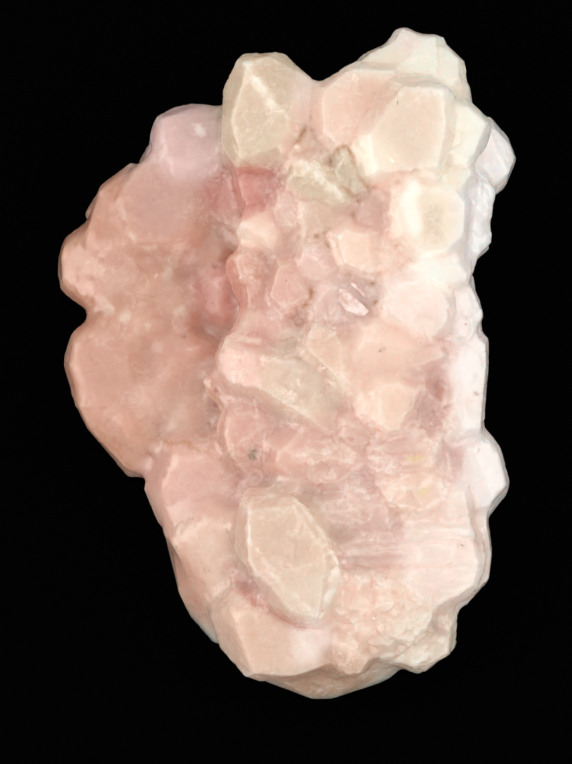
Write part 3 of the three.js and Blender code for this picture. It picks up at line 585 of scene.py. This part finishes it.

# Where the tints lie in the face frame, and how far each reaches.
# They are partly the quartz's own zoning and partly painted light: whiter towards the lit upper right and
# right edge, deeper and redder where the left and the valley lie in shade.
TINTS = [
    # the top edge
    ((-4.6, 24.5), "wheat", 2.4), ((-3.8, 29), "wheat", 2.0), ((-1.0, 28.5), "wheat", 2.0),
    ((1.6, 28.2), "pearl", 1.4), ((5.5, 27), "blush", 2.6), ((8.6, 28), "peach", 2.0),
    ((9.6, 31.6), "ivory", 2.2), ((12.3, 33.8), "pearl", 1.5), ((15.2, 31.4), "milk", 2.2),
    ((18, 28.6), "milk", 1.8), ((13, 25), "cream", 3.0), ((9.6, 21.4), "ivory", 1.8),
    ((18.4, 23.8), "milk", 2.4), ((22, 21.8), "smoke", 2.2), ((16.8, 19.8), "milk", 1.8),
    # the upper right, whiter partly as painted light
    ((13.2, 16.4), "ivory", 1.8), ((15.6, 14), "ivory", 2.0), ((16, 9.8), "frost", 2.0),
    ((20.4, 16.8), "smoke", 2.0), ((19.6, 11.6), "smoke", 2.4), ((18.6, 6), "opal", 2.0),
    ((6.6, 19.8), "wheat", 1.6), ((10.7, 18.6), "blush", 1.6), ((3.9, 19), "wheat", 2.0),
    ((2.3, 22.6), "peach", 1.6), ((9, 15.6), "petal", 1.8), ((6.6, 12.2), "blush", 1.8),
    ((10.6, 12), "blush", 1.6),
    # the middle
    ((-3.4, 14.2), "blush", 1.6), ((3, 14.8), "peach", 1.8), ((0, 15.9), "petal", 1.6),
    ((3.1, 10.4), "pink", 1.6), ((-4, 9.4), "salmon", 2.0), ((0, 8), "rose", 2.0),
    ((6.2, 6.6), "pink", 2.2), ((13.4, 6), "pearl", 2.4), ((-5.4, 0.4), "petal", 2.2),
    ((1.6, -1.6), "sand", 2.6), ((4, 1.6), "peach", 1.8), ((-3.4, 4), "rose", 1.8),
    ((-3.6, 1.2), "rose", 1.2), ((10.4, 2), "blush", 2.6), ((14.5, 0.5), "pink", 1.8),
    ((9.7, -4.2), "blush", 2.0), ((15.4, -3.4), "pink", 1.8), ((7.2, -6.6), "petal", 1.8),
    ((-3.9, -7.4), "rose", 2.4), ((19, -2), "opal", 2.4), ((3, -9.2), "petal", 2.4),
    ((7.6, -14.6), "pink", 2.2), ((12, -9.2), "pink", 1.8), ((13.2, -12.8), "blush", 1.8),
    ((8.6, -19), "pink", 2.0), ((16.8, -14.9), "pearl", 2.0),
    # the lower half
    ((20.6, -11), "opal", 2.6), ((17.6, -10.4), "pink", 1.4), ((19.8, -20), "pearl", 2.0),
    ((15.8, -20.5), "pearl", 2.8), ((0.6, -18.4), "sand", 3.2), ((2.4, -23.4), "cream", 2.0),
    ((-3.4, -22.6), "pink", 1.6), ((-2.2, -28.2), "peach", 2.8), ((2.6, -29), "pearl", 2.0),
    ((9.2, -25.4), "blush", 3.0), ((7.5, -29.5), "peach", 1.8), ((12.6, -28), "cream", 2.4),
    ((3.5, -33), "clay", 2.0), ((11.5, -31.4), "sand", 2.0),
    # the left side, deeper and redder partly as painted shade
    ((-10, 23.4), "lilac", 2.6), ((-13.2, 17), "haze", 2.4), ((-18.6, 15), "coral", 2.4),
    ((-20.4, 9.8), "coral", 3.0), ((-14, 8), "coral", 3.4), ((-19, 0.8), "coral", 3.0),
    ((-17.6, -6), "coral", 2.6), ((-10.6, 0.5), "salmon", 2.4), ((-13.6, -3.3), "salmon", 1.8),
    ((-15.7, -6.6), "coral", 1.6), ((-9.4, -5.4), "salmon", 2.2), ((-4.6, 17.4), "deep", 2.4),
    ((-8.4, 12.4), "salmon", 2.2), ((-7, 8), "deep", 2.6), ((-9.4, -12.6), "rose", 3.2),
    ((-7, -9.4), "salmon", 1.8), ((-7, -19.6), "peach", 3.0), ((-11.6, -22), "salmon", 2.6),
]
TINT_SPREAD = 0.62  # how gently tints blend, as a share of their reach
FAR_SHARE = 1e-4  # what every tint still gives far away
FACET_SHARE = 0.25  # how much of a place's tint comes from the middle of its facet
FACET_TONE = 0.014  # how far a facet's brightness strays
FACET_SEED = 4
MOST_SHINE = 0.7
MOTTLE = 0.22  # how much of a sandy tint the broad patches take on
SEAM_SHADOW = (0.95, 0.84, 0.81)  # what colour is multiplied by in a seam, as painted shade
PAINTED_LIGHT_COLOUR = (1.0, 0.96, 0.91)  # the pale colour of painted highlights on rims and of painted light that lifts the gaps' floors
PLANE_STEPS = (60, 12)  # how finely facets' directions and places are told apart

# How strongly painted shade darkens the seams, and the mosaic's grooves along its edges.
PAINTED_SEAM_SHADE = 0.2
PAINTED_MOSAIC_SHADE = 0.03
# How strongly painted light shows in hollows, and painted highlight on crystals' edges, on small ones' and
# on ridges.
HOLLOW_LIGHT = 0.22
RIM_HIGHLIGHT = 0.1
DRUSE_HIGHLIGHT = 0.2
RIDGE_HIGHLIGHT = 0.12
# What patchiness leaves of stains and streaks, at least, and what is clouded at least.
LEAST_STAIN = 0.4
LEAST_STREAK = 0.15
LEAST_CLOUD = 0.25
# How far the smooth mass and the clear patches are free of clouds.
CALM_CLEARNESS = 0.6
PATCH_CLEARNESS = 0.85


def linear(colour):
    colour = np.asarray(colour, float)
    return np.where(colour < 0.04045, colour / 12.92, ((colour + 0.055) / 1.055) ** 2.4)


def tint_over(u, v):
    """The tints blended by how near each is."""
    total = np.zeros((len(u), 3))
    weights = np.full(len(u), 1e-9)
    for (at_u, at_v), name, reach in TINTS:
        weight = np.exp(-((u - at_u) ** 2 + (v - at_v) ** 2) / (2 * (TINT_SPREAD * reach) ** 2)) + \
            FAR_SHARE / (1 + (u - at_u) ** 2 + (v - at_v) ** 2) ** 2
        total += weight[:, None] * linear(PALETTE[name])
        weights += weight
    return total / weights[:, None]


def facets_of(points, faces):
    """Each face's facet number, and each facet's middle in the face frame."""
    mesh = mesh_from("facets", points, faces)
    count = len(mesh.polygons)
    normals, centres, areas = np.empty(count * 3), np.empty(count * 3), np.empty(count)
    mesh.polygons.foreach_get("normal", normals)
    mesh.polygons.foreach_get("center", centres)
    mesh.polygons.foreach_get("area", areas)
    normals, centres = normals.reshape(-1, 3), centres.reshape(-1, 3)
    offsets = (normals * centres).sum(1)
    planes = np.column_stack([np.round(normals * PLANE_STEPS[0]), np.round(offsets * PLANE_STEPS[1])])
    number = np.unique(planes, axis=0, return_inverse=True)[1].ravel()
    total = np.bincount(number, areas) + 1e-9
    middles = np.column_stack([np.bincount(number, areas * centres[:, k]) / total for k in range(3)])
    bpy.data.meshes.remove(mesh)
    return number, face_places(middles)


def at_least(least, share):
    """A share that goes from the least to 1 instead of from 0 to 1."""
    return least + (1 - least) * share


def mixed(first, second, share):
    """The second colour laid over the first, as strong as each place's share."""
    share = np.clip(share, 0, 1)[:, None]
    return first * (1 - share) + second * share


def facet_tints(points, places, edges, facets):
    """Each place's own tint with some of its facet's, and a tone that changes from facet to facet."""
    facet_tree, number, middles = facets
    facet = number[np.array([facet_tree.find_nearest(Vector(point))[2] for point in points])]
    tone = 1 + FACET_TONE * np.random.default_rng(FACET_SEED).standard_normal(number.max() + 1)
    own = tint_over(places[:, 0], places[:, 1])
    by_facet = tint_over(middles[:, 0], middles[:, 1])[facet]
    colour = (own * (1 - FACET_SHARE) + by_facet * FACET_SHARE) * tone[facet][:, None]
    return smoothed(colour, edges, 2)


def stained(colour, places, facing, soft_seam, patchy):
    """Iron stain in the seams."""
    for (u, v), reach, strength in STAINS:
        near = 1 - ramp(np.hypot(places[:, 0] - u, places[:, 1] - v), 0.5 * reach, reach)
        share = strength * near * soft_seam * at_least(LEAST_STAIN, patchy) * ramp(facing, 0.1, 0.4)
        colour = mixed(colour, linear(PALETTE["rust"]), share)
    return colour


def marked(colour, spot, facing, patchy):
    """Whole marks and broken streaks."""
    for marks, whole in ((MARKS, 1), (STREAKS, at_least(LEAST_STREAK, patchy))):
        for mark in marks:
            share = whole * mark["share"] * nearness(spot, facing, mark["path"], mark["width"])
            colour = mixed(colour, linear(PALETTE[mark["tint"]]), share)
    return colour


def quartz_colours(mesh, depth, seam, crest, spot, facelets, facets):
    """Each place's tint, with painted shade and painted light laid in, how clouded it is and how much it
    shines.
    """
    points, normals, edges = arrays_of(mesh)
    places = face_places(points)
    facing = normals @ FACE_AXES[:, 2]
    ridge = ((points - smoothed(points, edges, 8)) * normals).sum(1)
    druse = patch_share(places, DRUSE)
    patchy = ramp(grain(points, "patchy"), -0.5, 0.3)
    soft_seam = np.clip(1.8 * smoothed(seam, edges, 5), 0, 1)
    painted_light = linear(PAINTED_LIGHT_COLOUR)

    colour = facet_tints(points, places, edges, facets)
    colour = mixed(colour, linear(PALETTE["sand"]), MOTTLE * ramp(grain(points, "mottle"), -0.1, 0.7))
    # Painted shade: seams and the mosaic's grooves made darker and redder.
    painted_shade = PAINTED_SEAM_SHADE * soft_seam + PAINTED_MOSAIC_SHADE * (1 - ramp(facelets[1], 0.02, 0.14))
    colour = mixed(colour, colour * linear(SEAM_SHADOW), painted_shade)
    # Painted light: hollows made paler, lifting their shade.
    colour = mixed(colour, painted_light, HOLLOW_LIGHT * ramp(depth, 0.05, 0.3))
    # Painted highlight: outward edges and sharp ridges made paler, as the glow of light through thin
    # quartz.
    rim_highlight = (RIM_HIGHLIGHT + DRUSE_HIGHLIGHT * druse) * crest + RIDGE_HIGHLIGHT * ramp(ridge, 0.008, 0.035)
    colour = mixed(colour, painted_light, rim_highlight * ramp(grain(points, "rim_highlight"), -0.7, 0.4))
    colour = stained(colour, places, facing, soft_seam, patchy)
    colour = marked(colour, spot, facing, patchy)

    cloud = at_least(LEAST_CLOUD, ramp(grain(points, "cloud"), -0.4, 0.6))
    cloud *= 1 - CALM_CLEARNESS * calm_share(places)
    cloud *= 1 - PATCH_CLEARNESS * patch_share(places, CLEAR)
    shine = np.maximum(ramp(grain(points, "shine"), -0.6, 0.6), druse)
    return colour, cloud, shine


# ---- small crystals ----

# Where they stand in the face frame: middle, half lengths, how many, and least and most girth.
SMALL_PATCHES = [
    {"at": (9.6, -25.4), "reach": (4.6, 4.8), "count": 34, "girth": (0.7, 1.5)},
    {"at": (14.2, -28.6), "reach": (2.6, 2.2), "count": 8, "girth": (0.7, 1.3)},
    {"at": (15.6, -4.6), "reach": (1.8, 3.8), "count": 9, "girth": (0.6, 1.0)},
    {"at": (6.6, -11.2), "reach": (7.0, 3.0), "count": 14, "girth": (0.6, 1.2)},
    {"at": (3.4, 20.6), "reach": (3.0, 2.4), "count": 5, "girth": (0.6, 1.1)},
    {"at": (-14.0, 6.0), "reach": (4.6, 4.4), "count": 6, "girth": (0.7, 1.1)},
]
# Ones that fill the deepest gaps: where, and their girth.
GAP_FILLERS = [
    (-2.8, -11.6, 1.3), (2.2, -13.2, 0.9), (14.6, -5.8, 1.7), (-7.0, -2.3, 1.7),
    (1.3, 4.6, 1.4), (0.2, 12.6, 1.4), (-6.6, 9.0, 1.8), (13.6, -7.4, 1.3),
]
FILLER_STANDS = 0.4
FILLER_RISE = 2  # how much more a filler points straight out of the face
SMALL_STANDS = (0.0, 0.3)  # how far a small crystal's shoulder stands out, as a share of its girth
SMALL_SWAY = 0.4
SMALL_RISE = 0.3
SMALL_TAPER = 0.95
SMALL_UNEVEN = 0.14
SMALL_LEAN = 0.35  # how far the point lies off the axis, at most, as a share of the girth
SMALL_POINT = (0.35, 0.65)  # least and most height of the point, as a share of the girth
SMALL_SEED = 11
RAY_START = 40  # how far above the face a ray that looks for the surface starts


def small_crystal(foot, axis, girth, stands, rng):
    """Corners and triangles of a six-sided prism with a six-sided point."""
    side = axis.orthogonal().normalized()
    across = axis.cross(side)
    turn = rng.uniform(0, math.pi / 3)
    corners = []
    for centre, radius in ((foot - axis * girth, girth), (foot + axis * stands, girth * SMALL_TAPER)):
        for k in range(6):
            angle = turn + k * math.pi / 3
            reach = radius * (1 + SMALL_UNEVEN * math.sin(2.3 * k + turn * 9))
            corners.append(centre + (side * math.cos(angle) + across * math.sin(angle)) * reach)
    lean = side * rng.uniform(-SMALL_LEAN, SMALL_LEAN) + across * rng.uniform(-SMALL_LEAN, SMALL_LEAN)
    corners.append(foot + axis * (stands + girth * rng.uniform(*SMALL_POINT)) + lean * girth)
    faces = [(0, k + 1, k) for k in range(1, 5)]
    for k in range(6):
        after = (k + 1) % 6
        faces += [(k, after, 6 + after), (k, 6 + after, 6 + k), (6 + k, 6 + after, 12)]
    return corners, faces


def with_small_crystals(points, faces):
    """The surface with the seeded small crystals standing in it."""
    rng = np.random.default_rng(SMALL_SEED)
    tree = BVHTree.FromPolygons(points, faces)
    down = -tilted(0, 0)
    points, faces = list(points), [tuple(face) for face in faces]

    def add(u, v, girth, stands, sway):
        foot, normal, _, _ = tree.ray_cast(row_place(u, v, RAY_START), down)
        if foot is not None:
            axis = (normal + sway - SMALL_RISE * down).normalized()
            corners, sides = small_crystal(foot, axis, girth, stands, rng)
            faces.extend(tuple(len(points) + i for i in side) for side in sides)
            points.extend(corners)

    for u, v, girth in GAP_FILLERS:
        add(u, v, girth, FILLER_STANDS * girth, -FILLER_RISE * down)
    for patch in SMALL_PATCHES:
        for _ in range(patch["count"]):
            angle = rng.uniform(0, 2 * math.pi)
            out = math.sqrt(rng.uniform(0, 1))
            u = patch["at"][0] + patch["reach"][0] * out * math.cos(angle)
            v = patch["at"][1] + patch["reach"][1] * out * math.sin(angle)
            sway = Vector(rng.uniform(-SMALL_SWAY, SMALL_SWAY, 3))
            girth = rng.uniform(*patch["girth"])
            add(u, v, girth, girth * rng.uniform(*SMALL_STANDS), sway)
    return points, faces


# ---- faces that catch the light ----

# The corners of the big ones in the face frame.
MIRROR_FACES = [
    [(5.5, 7.9), (6.3, 7.8), (8.6, 5.6), (8.1, 5.1), (6.4, 5.6), (5.6, 6.8)],
    [(6.6, 8.5), (6.9, 8.6), (8.3, 7.2), (8.1, 7.0)],
]
# The small ones: where, and their reach.
SPARKLES = [
    (18.7, 4.3, 0.16), (17.5, 3.3, 0.14), (6.0, -21.9, 0.2), (10.4, -22.1, 0.22), (9.1, -26.3, 0.2),
    (5.0, 3.8, 0.15), (4.0, -0.3, 0.16), (3.4, -2.8, 0.13), (3.9, -25.4, 0.15),
]
SPARKLE_SIDES = 5
MIRROR_TILT = (18, 45)  # about half way between the view and the key light
PLATE_DEPTH = 0.6
PLATE_STANDS = 0.2


def plate(outline, tree):
    """A thin slab with the given corners, turned so that its top catches the key light."""
    normal = tilted(*MIRROR_TILT)
    down = -tilted(0, 0)
    middle = np.mean(outline, axis=0)
    foot = tree.ray_cast(row_place(*middle, RAY_START), down)[0]
    level = face_places(np.array(foot)[None])[0, 2]
    slope = np.array(normal) @ FACE_AXES
    top = []
    for u, v in outline:
        drop = (slope[0] * (u - middle[0]) + slope[1] * (v - middle[1])) / slope[2]
        top.append(row_place(u, v, level + PLATE_STANDS - drop))
    count = len(top)
    corners = top + [corner - normal * PLATE_DEPTH for corner in top]
    faces = [tuple(range(count)), tuple(range(2 * count - 1, count - 1, -1))]
    faces += [(k, count + k, count + (k + 1) % count, (k + 1) % count) for k in range(count)]
    area = sum(a[0] * b[1] - b[0] * a[1] for a, b in zip(outline, outline[1:] + outline[:1]))
    if area < 0:
        faces = [tuple(reversed(face)) for face in faces]
    return corners, faces


def sparkle_mesh(tree):
    """The plates that catch the key light."""
    outlines = list(MIRROR_FACES)
    for u, v, reach in SPARKLES:
        turns = [u + v + 2 * math.pi / SPARKLE_SIDES * k for k in range(SPARKLE_SIDES)]
        outlines.append([(u + reach * math.cos(turn), v + reach * math.sin(turn)) for turn in turns])
    points, faces = [], []
    for outline in outlines:
        corners, sides = plate(outline, tree)
        faces += [tuple(len(points) + i for i in side) for side in sides]
        points += corners
    return mesh_from("sparkles", np.array(points) * MM, faces)


# ---- the finished piece ----

def set_attribute(mesh, name, values):
    """Stores a colour or a number on every vertex."""
    if values.ndim == 2:
        attribute = mesh.attributes.new(name, "FLOAT_COLOR", "POINT")
        values = np.column_stack([values, np.ones(len(values))])
        attribute.data.foreach_set("color", values.astype(np.float32).ravel())
    else:
        attribute = mesh.attributes.new(name, "FLOAT", "POINT")
        attribute.data.foreach_set("value", values.astype(np.float32))


def border_shares(skin, base, grown):
    """How near each place is to a crystal's border, and to an outward edge."""
    points, normals, _ = arrays_of(skin)
    places = face_places(points)
    calm = calm_share(places)
    seam = line_share(points, normals, sharp_edges(*base, True), SEAM_WIDTH, EDGE_WITHIN)
    seam *= 1 - CALM_BORDERLESS * calm
    seam *= 1 - PATCH_BORDERLESS * patch_share(places, SEAMLESS)
    crest = line_share(points, normals, sharp_edges(*grown, False), RIM_WIDTH, EDGE_WITHIN)
    return seam, crest * (1 - seam) * (1 - CALM_BORDERLESS * calm)


def quartz_mesh():
    """The main piece, and a tree of its faces in millimetres."""
    base = base_surface()
    grown = with_small_crystals(*base)
    facets = (BVHTree.FromPolygons(*grown), *facets_of(*grown))
    skin, depth = grown_together(*grown)
    seam, crest = border_shares(skin, base, grown)
    points, normals, _ = arrays_of(skin)
    places = face_places(points)
    facing = normals @ FACE_AXES[:, 2]
    spot = wandering(places)
    facelets = mosaic(points, MOSAIC_CELL, MOSAIC_SEED)
    colour, cloud, shine = quartz_colours(skin, depth, seam, crest, spot, facelets, facets)
    raised = relief(points, places, facing, seam, spot, facelets)
    points += normals * (raised * ramp(points[:, 2], *RELIEF_FOOT))[:, None]
    move_to(skin, points)

    seen = ramp(facing, -0.2, 0.3)
    hidden = 1 - seen * at_least(LEAST_DETAIL, np.maximum(seam, crest))
    slim = evaluated(skin, "DECIMATE", weights=hidden, ratio=MOST_TRIANGLES / len(triangles_of(skin)))
    slim_points = arrays_of(slim)[0]
    slim_faces = triangles_of(slim)
    match = nearest_of(slim_points, points)
    mesh = mesh_from("rose_quartz", slim_points * MM, slim_faces.tolist())
    mesh.shade_smooth()
    # The tint carries the painted shade in seams and the painted light in hollows and on edges.
    set_attribute(mesh, "tint", colour[match])
    set_attribute(mesh, "cloud", cloud[match])
    set_attribute(mesh, "shine", MOST_SHINE * shine[match])
    return mesh, BVHTree.FromPolygons(slim_points.tolist(), slim_faces.tolist())


# ---- materials ----

QUARTZ_IOR = 1.54


def node(tree, kind, **inputs):
    """A shader node with some of its inputs set."""
    made = tree.nodes.new(kind)
    for name, value in inputs.items():
        made.inputs[name.replace("_", " ")].default_value = value
    return made


def new_material(name):
    """A material with its node tree and its shader."""
    material = bpy.data.materials.new(name)
    material.use_nodes = True
    return material, material.node_tree, material.node_tree.nodes["Principled BSDF"]


def socket(sockets, identifier):
    """The socket with this identifier, for nodes that have several sockets of one name."""
    return next(each for each in sockets if each.identifier == identifier)


def noise_share(tree, place, start, stop, most, **noise_inputs):
    """Noise over the object, from nothing where it is below start to most where it is above stop."""
    clouds = node(tree, "ShaderNodeTexNoise", **noise_inputs)
    tree.links.new(place.outputs["Object"], clouds.inputs["Vector"])
    share = node(tree, "ShaderNodeMapRange", From_Min=start, From_Max=stop, To_Max=most)
    tree.links.new(clouds.outputs["Fac"], share.inputs["Value"])
    return share.outputs["Result"]


def colour_mix(tree, factor):
    """A node that lays colour B over colour A by the factor, and its sockets A, B and result."""
    mix = node(tree, "ShaderNodeMix")
    mix.data_type = "RGBA"
    tree.links.new(factor, mix.inputs["Factor"])
    return (socket(mix.inputs, "A_Color"), socket(mix.inputs, "B_Color"),
            socket(mix.outputs, "Result_Color"))


def roughened(tree, place, shader, strength, distance, **noise_inputs):
    """Fine bumps on the shader's surface."""
    grain_noise = node(tree, "ShaderNodeTexNoise", **noise_inputs)
    bump = node(tree, "ShaderNodeBump", Strength=strength, Distance=distance)
    tree.links.new(place.outputs["Object"], grain_noise.inputs["Vector"])
    tree.links.new(grain_noise.outputs["Fac"], bump.inputs["Height"])
    tree.links.new(bump.outputs["Normal"], shader.inputs["Normal"])


def quartz_material():
    """Milky, translucent quartz: the tint with white veils and flecks in it, glossy where it shines."""
    material, tree, shader = new_material("rose quartz")
    link = tree.links.new
    place = node(tree, "ShaderNodeTexCoord")
    tint, cloud, shine = (node(tree, "ShaderNodeAttribute") for _ in range(3))
    tint.attribute_name, cloud.attribute_name, shine.attribute_name = "tint", "cloud", "shine"

    veils = noise_share(tree, place, start=0.46, stop=0.7, most=0.5,
                        Scale=700, Detail=8, Roughness=0.7, Distortion=1.6)
    share = node(tree, "ShaderNodeMath")
    share.operation = "MULTIPLY"
    link(veils, share.inputs[0])
    link(cloud.outputs["Fac"], share.inputs[1])
    flecks = noise_share(tree, place, start=0.6, stop=0.72, most=0.28,
                         Scale=2600, Detail=3, Roughness=0.6)
    dotted = node(tree, "ShaderNodeMath")
    dotted.operation = "MULTIPLY_ADD"
    dotted.use_clamp = True
    link(flecks, dotted.inputs[0])
    link(cloud.outputs["Fac"], dotted.inputs[1])
    link(share.outputs["Value"], dotted.inputs[2])
    clear, milky, mixture = colour_mix(tree, dotted.outputs["Value"])
    link(tint.outputs["Color"], clear)
    milky.default_value = (*linear(PALETTE["frost"]), 1)
    link(mixture, shader.inputs["Base Color"])

    rough = node(tree, "ShaderNodeMapRange", To_Min=0.34, To_Max=0.07)
    link(shine.outputs["Fac"], rough.inputs["Value"])
    link(rough.outputs["Result"], shader.inputs["Roughness"])
    roughened(tree, place, shader, strength=0.2, distance=0.00006, Scale=1500, Detail=4)
    shader.inputs["IOR"].default_value = QUARTZ_IOR
    shader.inputs["Coat Weight"].default_value = 0.5
    shader.inputs["Coat Roughness"].default_value = 0.08
    shader.inputs["Subsurface Weight"].default_value = 1.0
    shader.inputs["Subsurface Radius"].default_value = (1.0, 0.7, 0.62)
    shader.inputs["Subsurface Scale"].default_value = 0.006
    return material


def sparkle_material():
    """Pale, streaked faces, as a cleft inside the quartz shows where it catches the light."""
    material, tree, shader = new_material("sparkling quartz")
    shader.inputs["Roughness"].default_value = 0.42
    shader.inputs["IOR"].default_value = QUARTZ_IOR
    place = node(tree, "ShaderNodeTexCoord")
    roughened(tree, place, shader, strength=0.6, distance=0.0002, Scale=1100, Detail=3)
    streaks = noise_share(tree, place, start=0.4, stop=0.62, most=1.0, Scale=1100, Detail=3)
    dull, bright, mixture = colour_mix(tree, streaks)
    dull.default_value = (*linear(PALETTE["petal"]), 1)
    bright.default_value = (*linear(PALETTE["shell"]), 1)
    tree.links.new(mixture, shader.inputs["Base Color"])
    return material


def floor_material():
    material, _, shader = new_material("dark floor")
    shader.inputs["Base Color"].default_value = (0.0008, 0.0008, 0.0008, 1)
    shader.inputs["Specular IOR Level"].default_value = 0
    shader.inputs["Roughness"].default_value = 0.8
    return material


# ---- the scene ----

def placed(name, mesh, material):
    """An object with this mesh and material, in the scene."""
    mesh.materials.append(material)
    made = bpy.data.objects.new(name, mesh)
    bpy.context.scene.collection.objects.link(made)
    return made


skin_mesh, skin_tree = quartz_mesh()
for piece in (placed("rose_quartz", skin_mesh, quartz_material()),
              placed("sparkles", sparkle_mesh(skin_tree), sparkle_material())):
    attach(piece, "root")
    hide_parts(NODE)

FLOOR_REACH = 2
floor_corners = [(x * FLOOR_REACH, y * FLOOR_REACH, 0) for x, y in ((-1, -1), (1, -1), (1, 1), (-1, 1))]
placed("floor", mesh_from("floor", floor_corners, [(0, 1, 2, 3)]), floor_material())

# ---- camera and light ----

FIELD_HEIGHT = 79.1  # what the view takes in, top to bottom, at the face frame's origin
VIEW_MIDDLE = (0.0, -1.76)  # the face place at the middle of the view
CAMERA_AWAY = 700
SENSOR = 36

camera_data = bpy.data.cameras.new("camera")
camera_data.sensor_width = SENSOR
camera_data.lens = SENSOR * CAMERA_AWAY / FIELD_HEIGHT
camera_data.clip_start = 0.01
camera = bpy.data.objects.new("camera", camera_data)
camera.matrix_world = Matrix.Translation(row_place(*VIEW_MIDDLE, CAMERA_AWAY) * MM) @ \
    FACE_TO_ROW.to_3x3().to_4x4()
bpy.context.scene.collection.objects.link(camera)
bpy.context.scene.camera = camera

# Square area lights: tilt and heading, how far away and how wide in metres, power in watts and colour.
LIGHTS = {
    "key": ((34, 50), 0.7, 0.6, 0.8, (1.0, 0.95, 0.89)),
    "side": ((80, 5), 0.6, 0.4, 0.75, (1.0, 0.93, 0.86)),
    "low": ((72, 290), 0.6, 0.4, 0.85, (1.0, 0.94, 0.88)),
    "left": ((80, 185), 0.6, 0.4, 1.0, (1.0, 0.92, 0.88)),
    "fill": ((50, 200), 0.8, 0.6, 1.2, (1.0, 0.94, 0.90)),
    "glint": ((22, 70), 0.7, 0.08, 0.14, (1.0, 0.97, 0.94)),
}
LIT_PLACE = (0, 0, -5)  # the face place that the lights face

for light_name, (turn, away, size, power, colour) in LIGHTS.items():
    data = bpy.data.lights.new(light_name, "AREA")
    data.size = size
    data.energy = power
    data.color = colour
    light = bpy.data.objects.new(light_name, data)
    direction = tilted(*turn)
    light.location = row_place(*LIT_PLACE) * MM + direction * away
    light.rotation_euler = direction.to_track_quat("Z", "Y").to_euler()
    bpy.context.scene.collection.objects.link(light)

world = bpy.data.worlds.new("studio")
world.use_nodes = True
world.node_tree.nodes["Background"].inputs["Color"].default_value = (1, 0.965, 0.93, 1)
world.node_tree.nodes["Background"].inputs["Strength"].default_value = 0.755
bpy.context.scene.world = world
bpy.context.scene.view_settings.view_transform = "Standard"
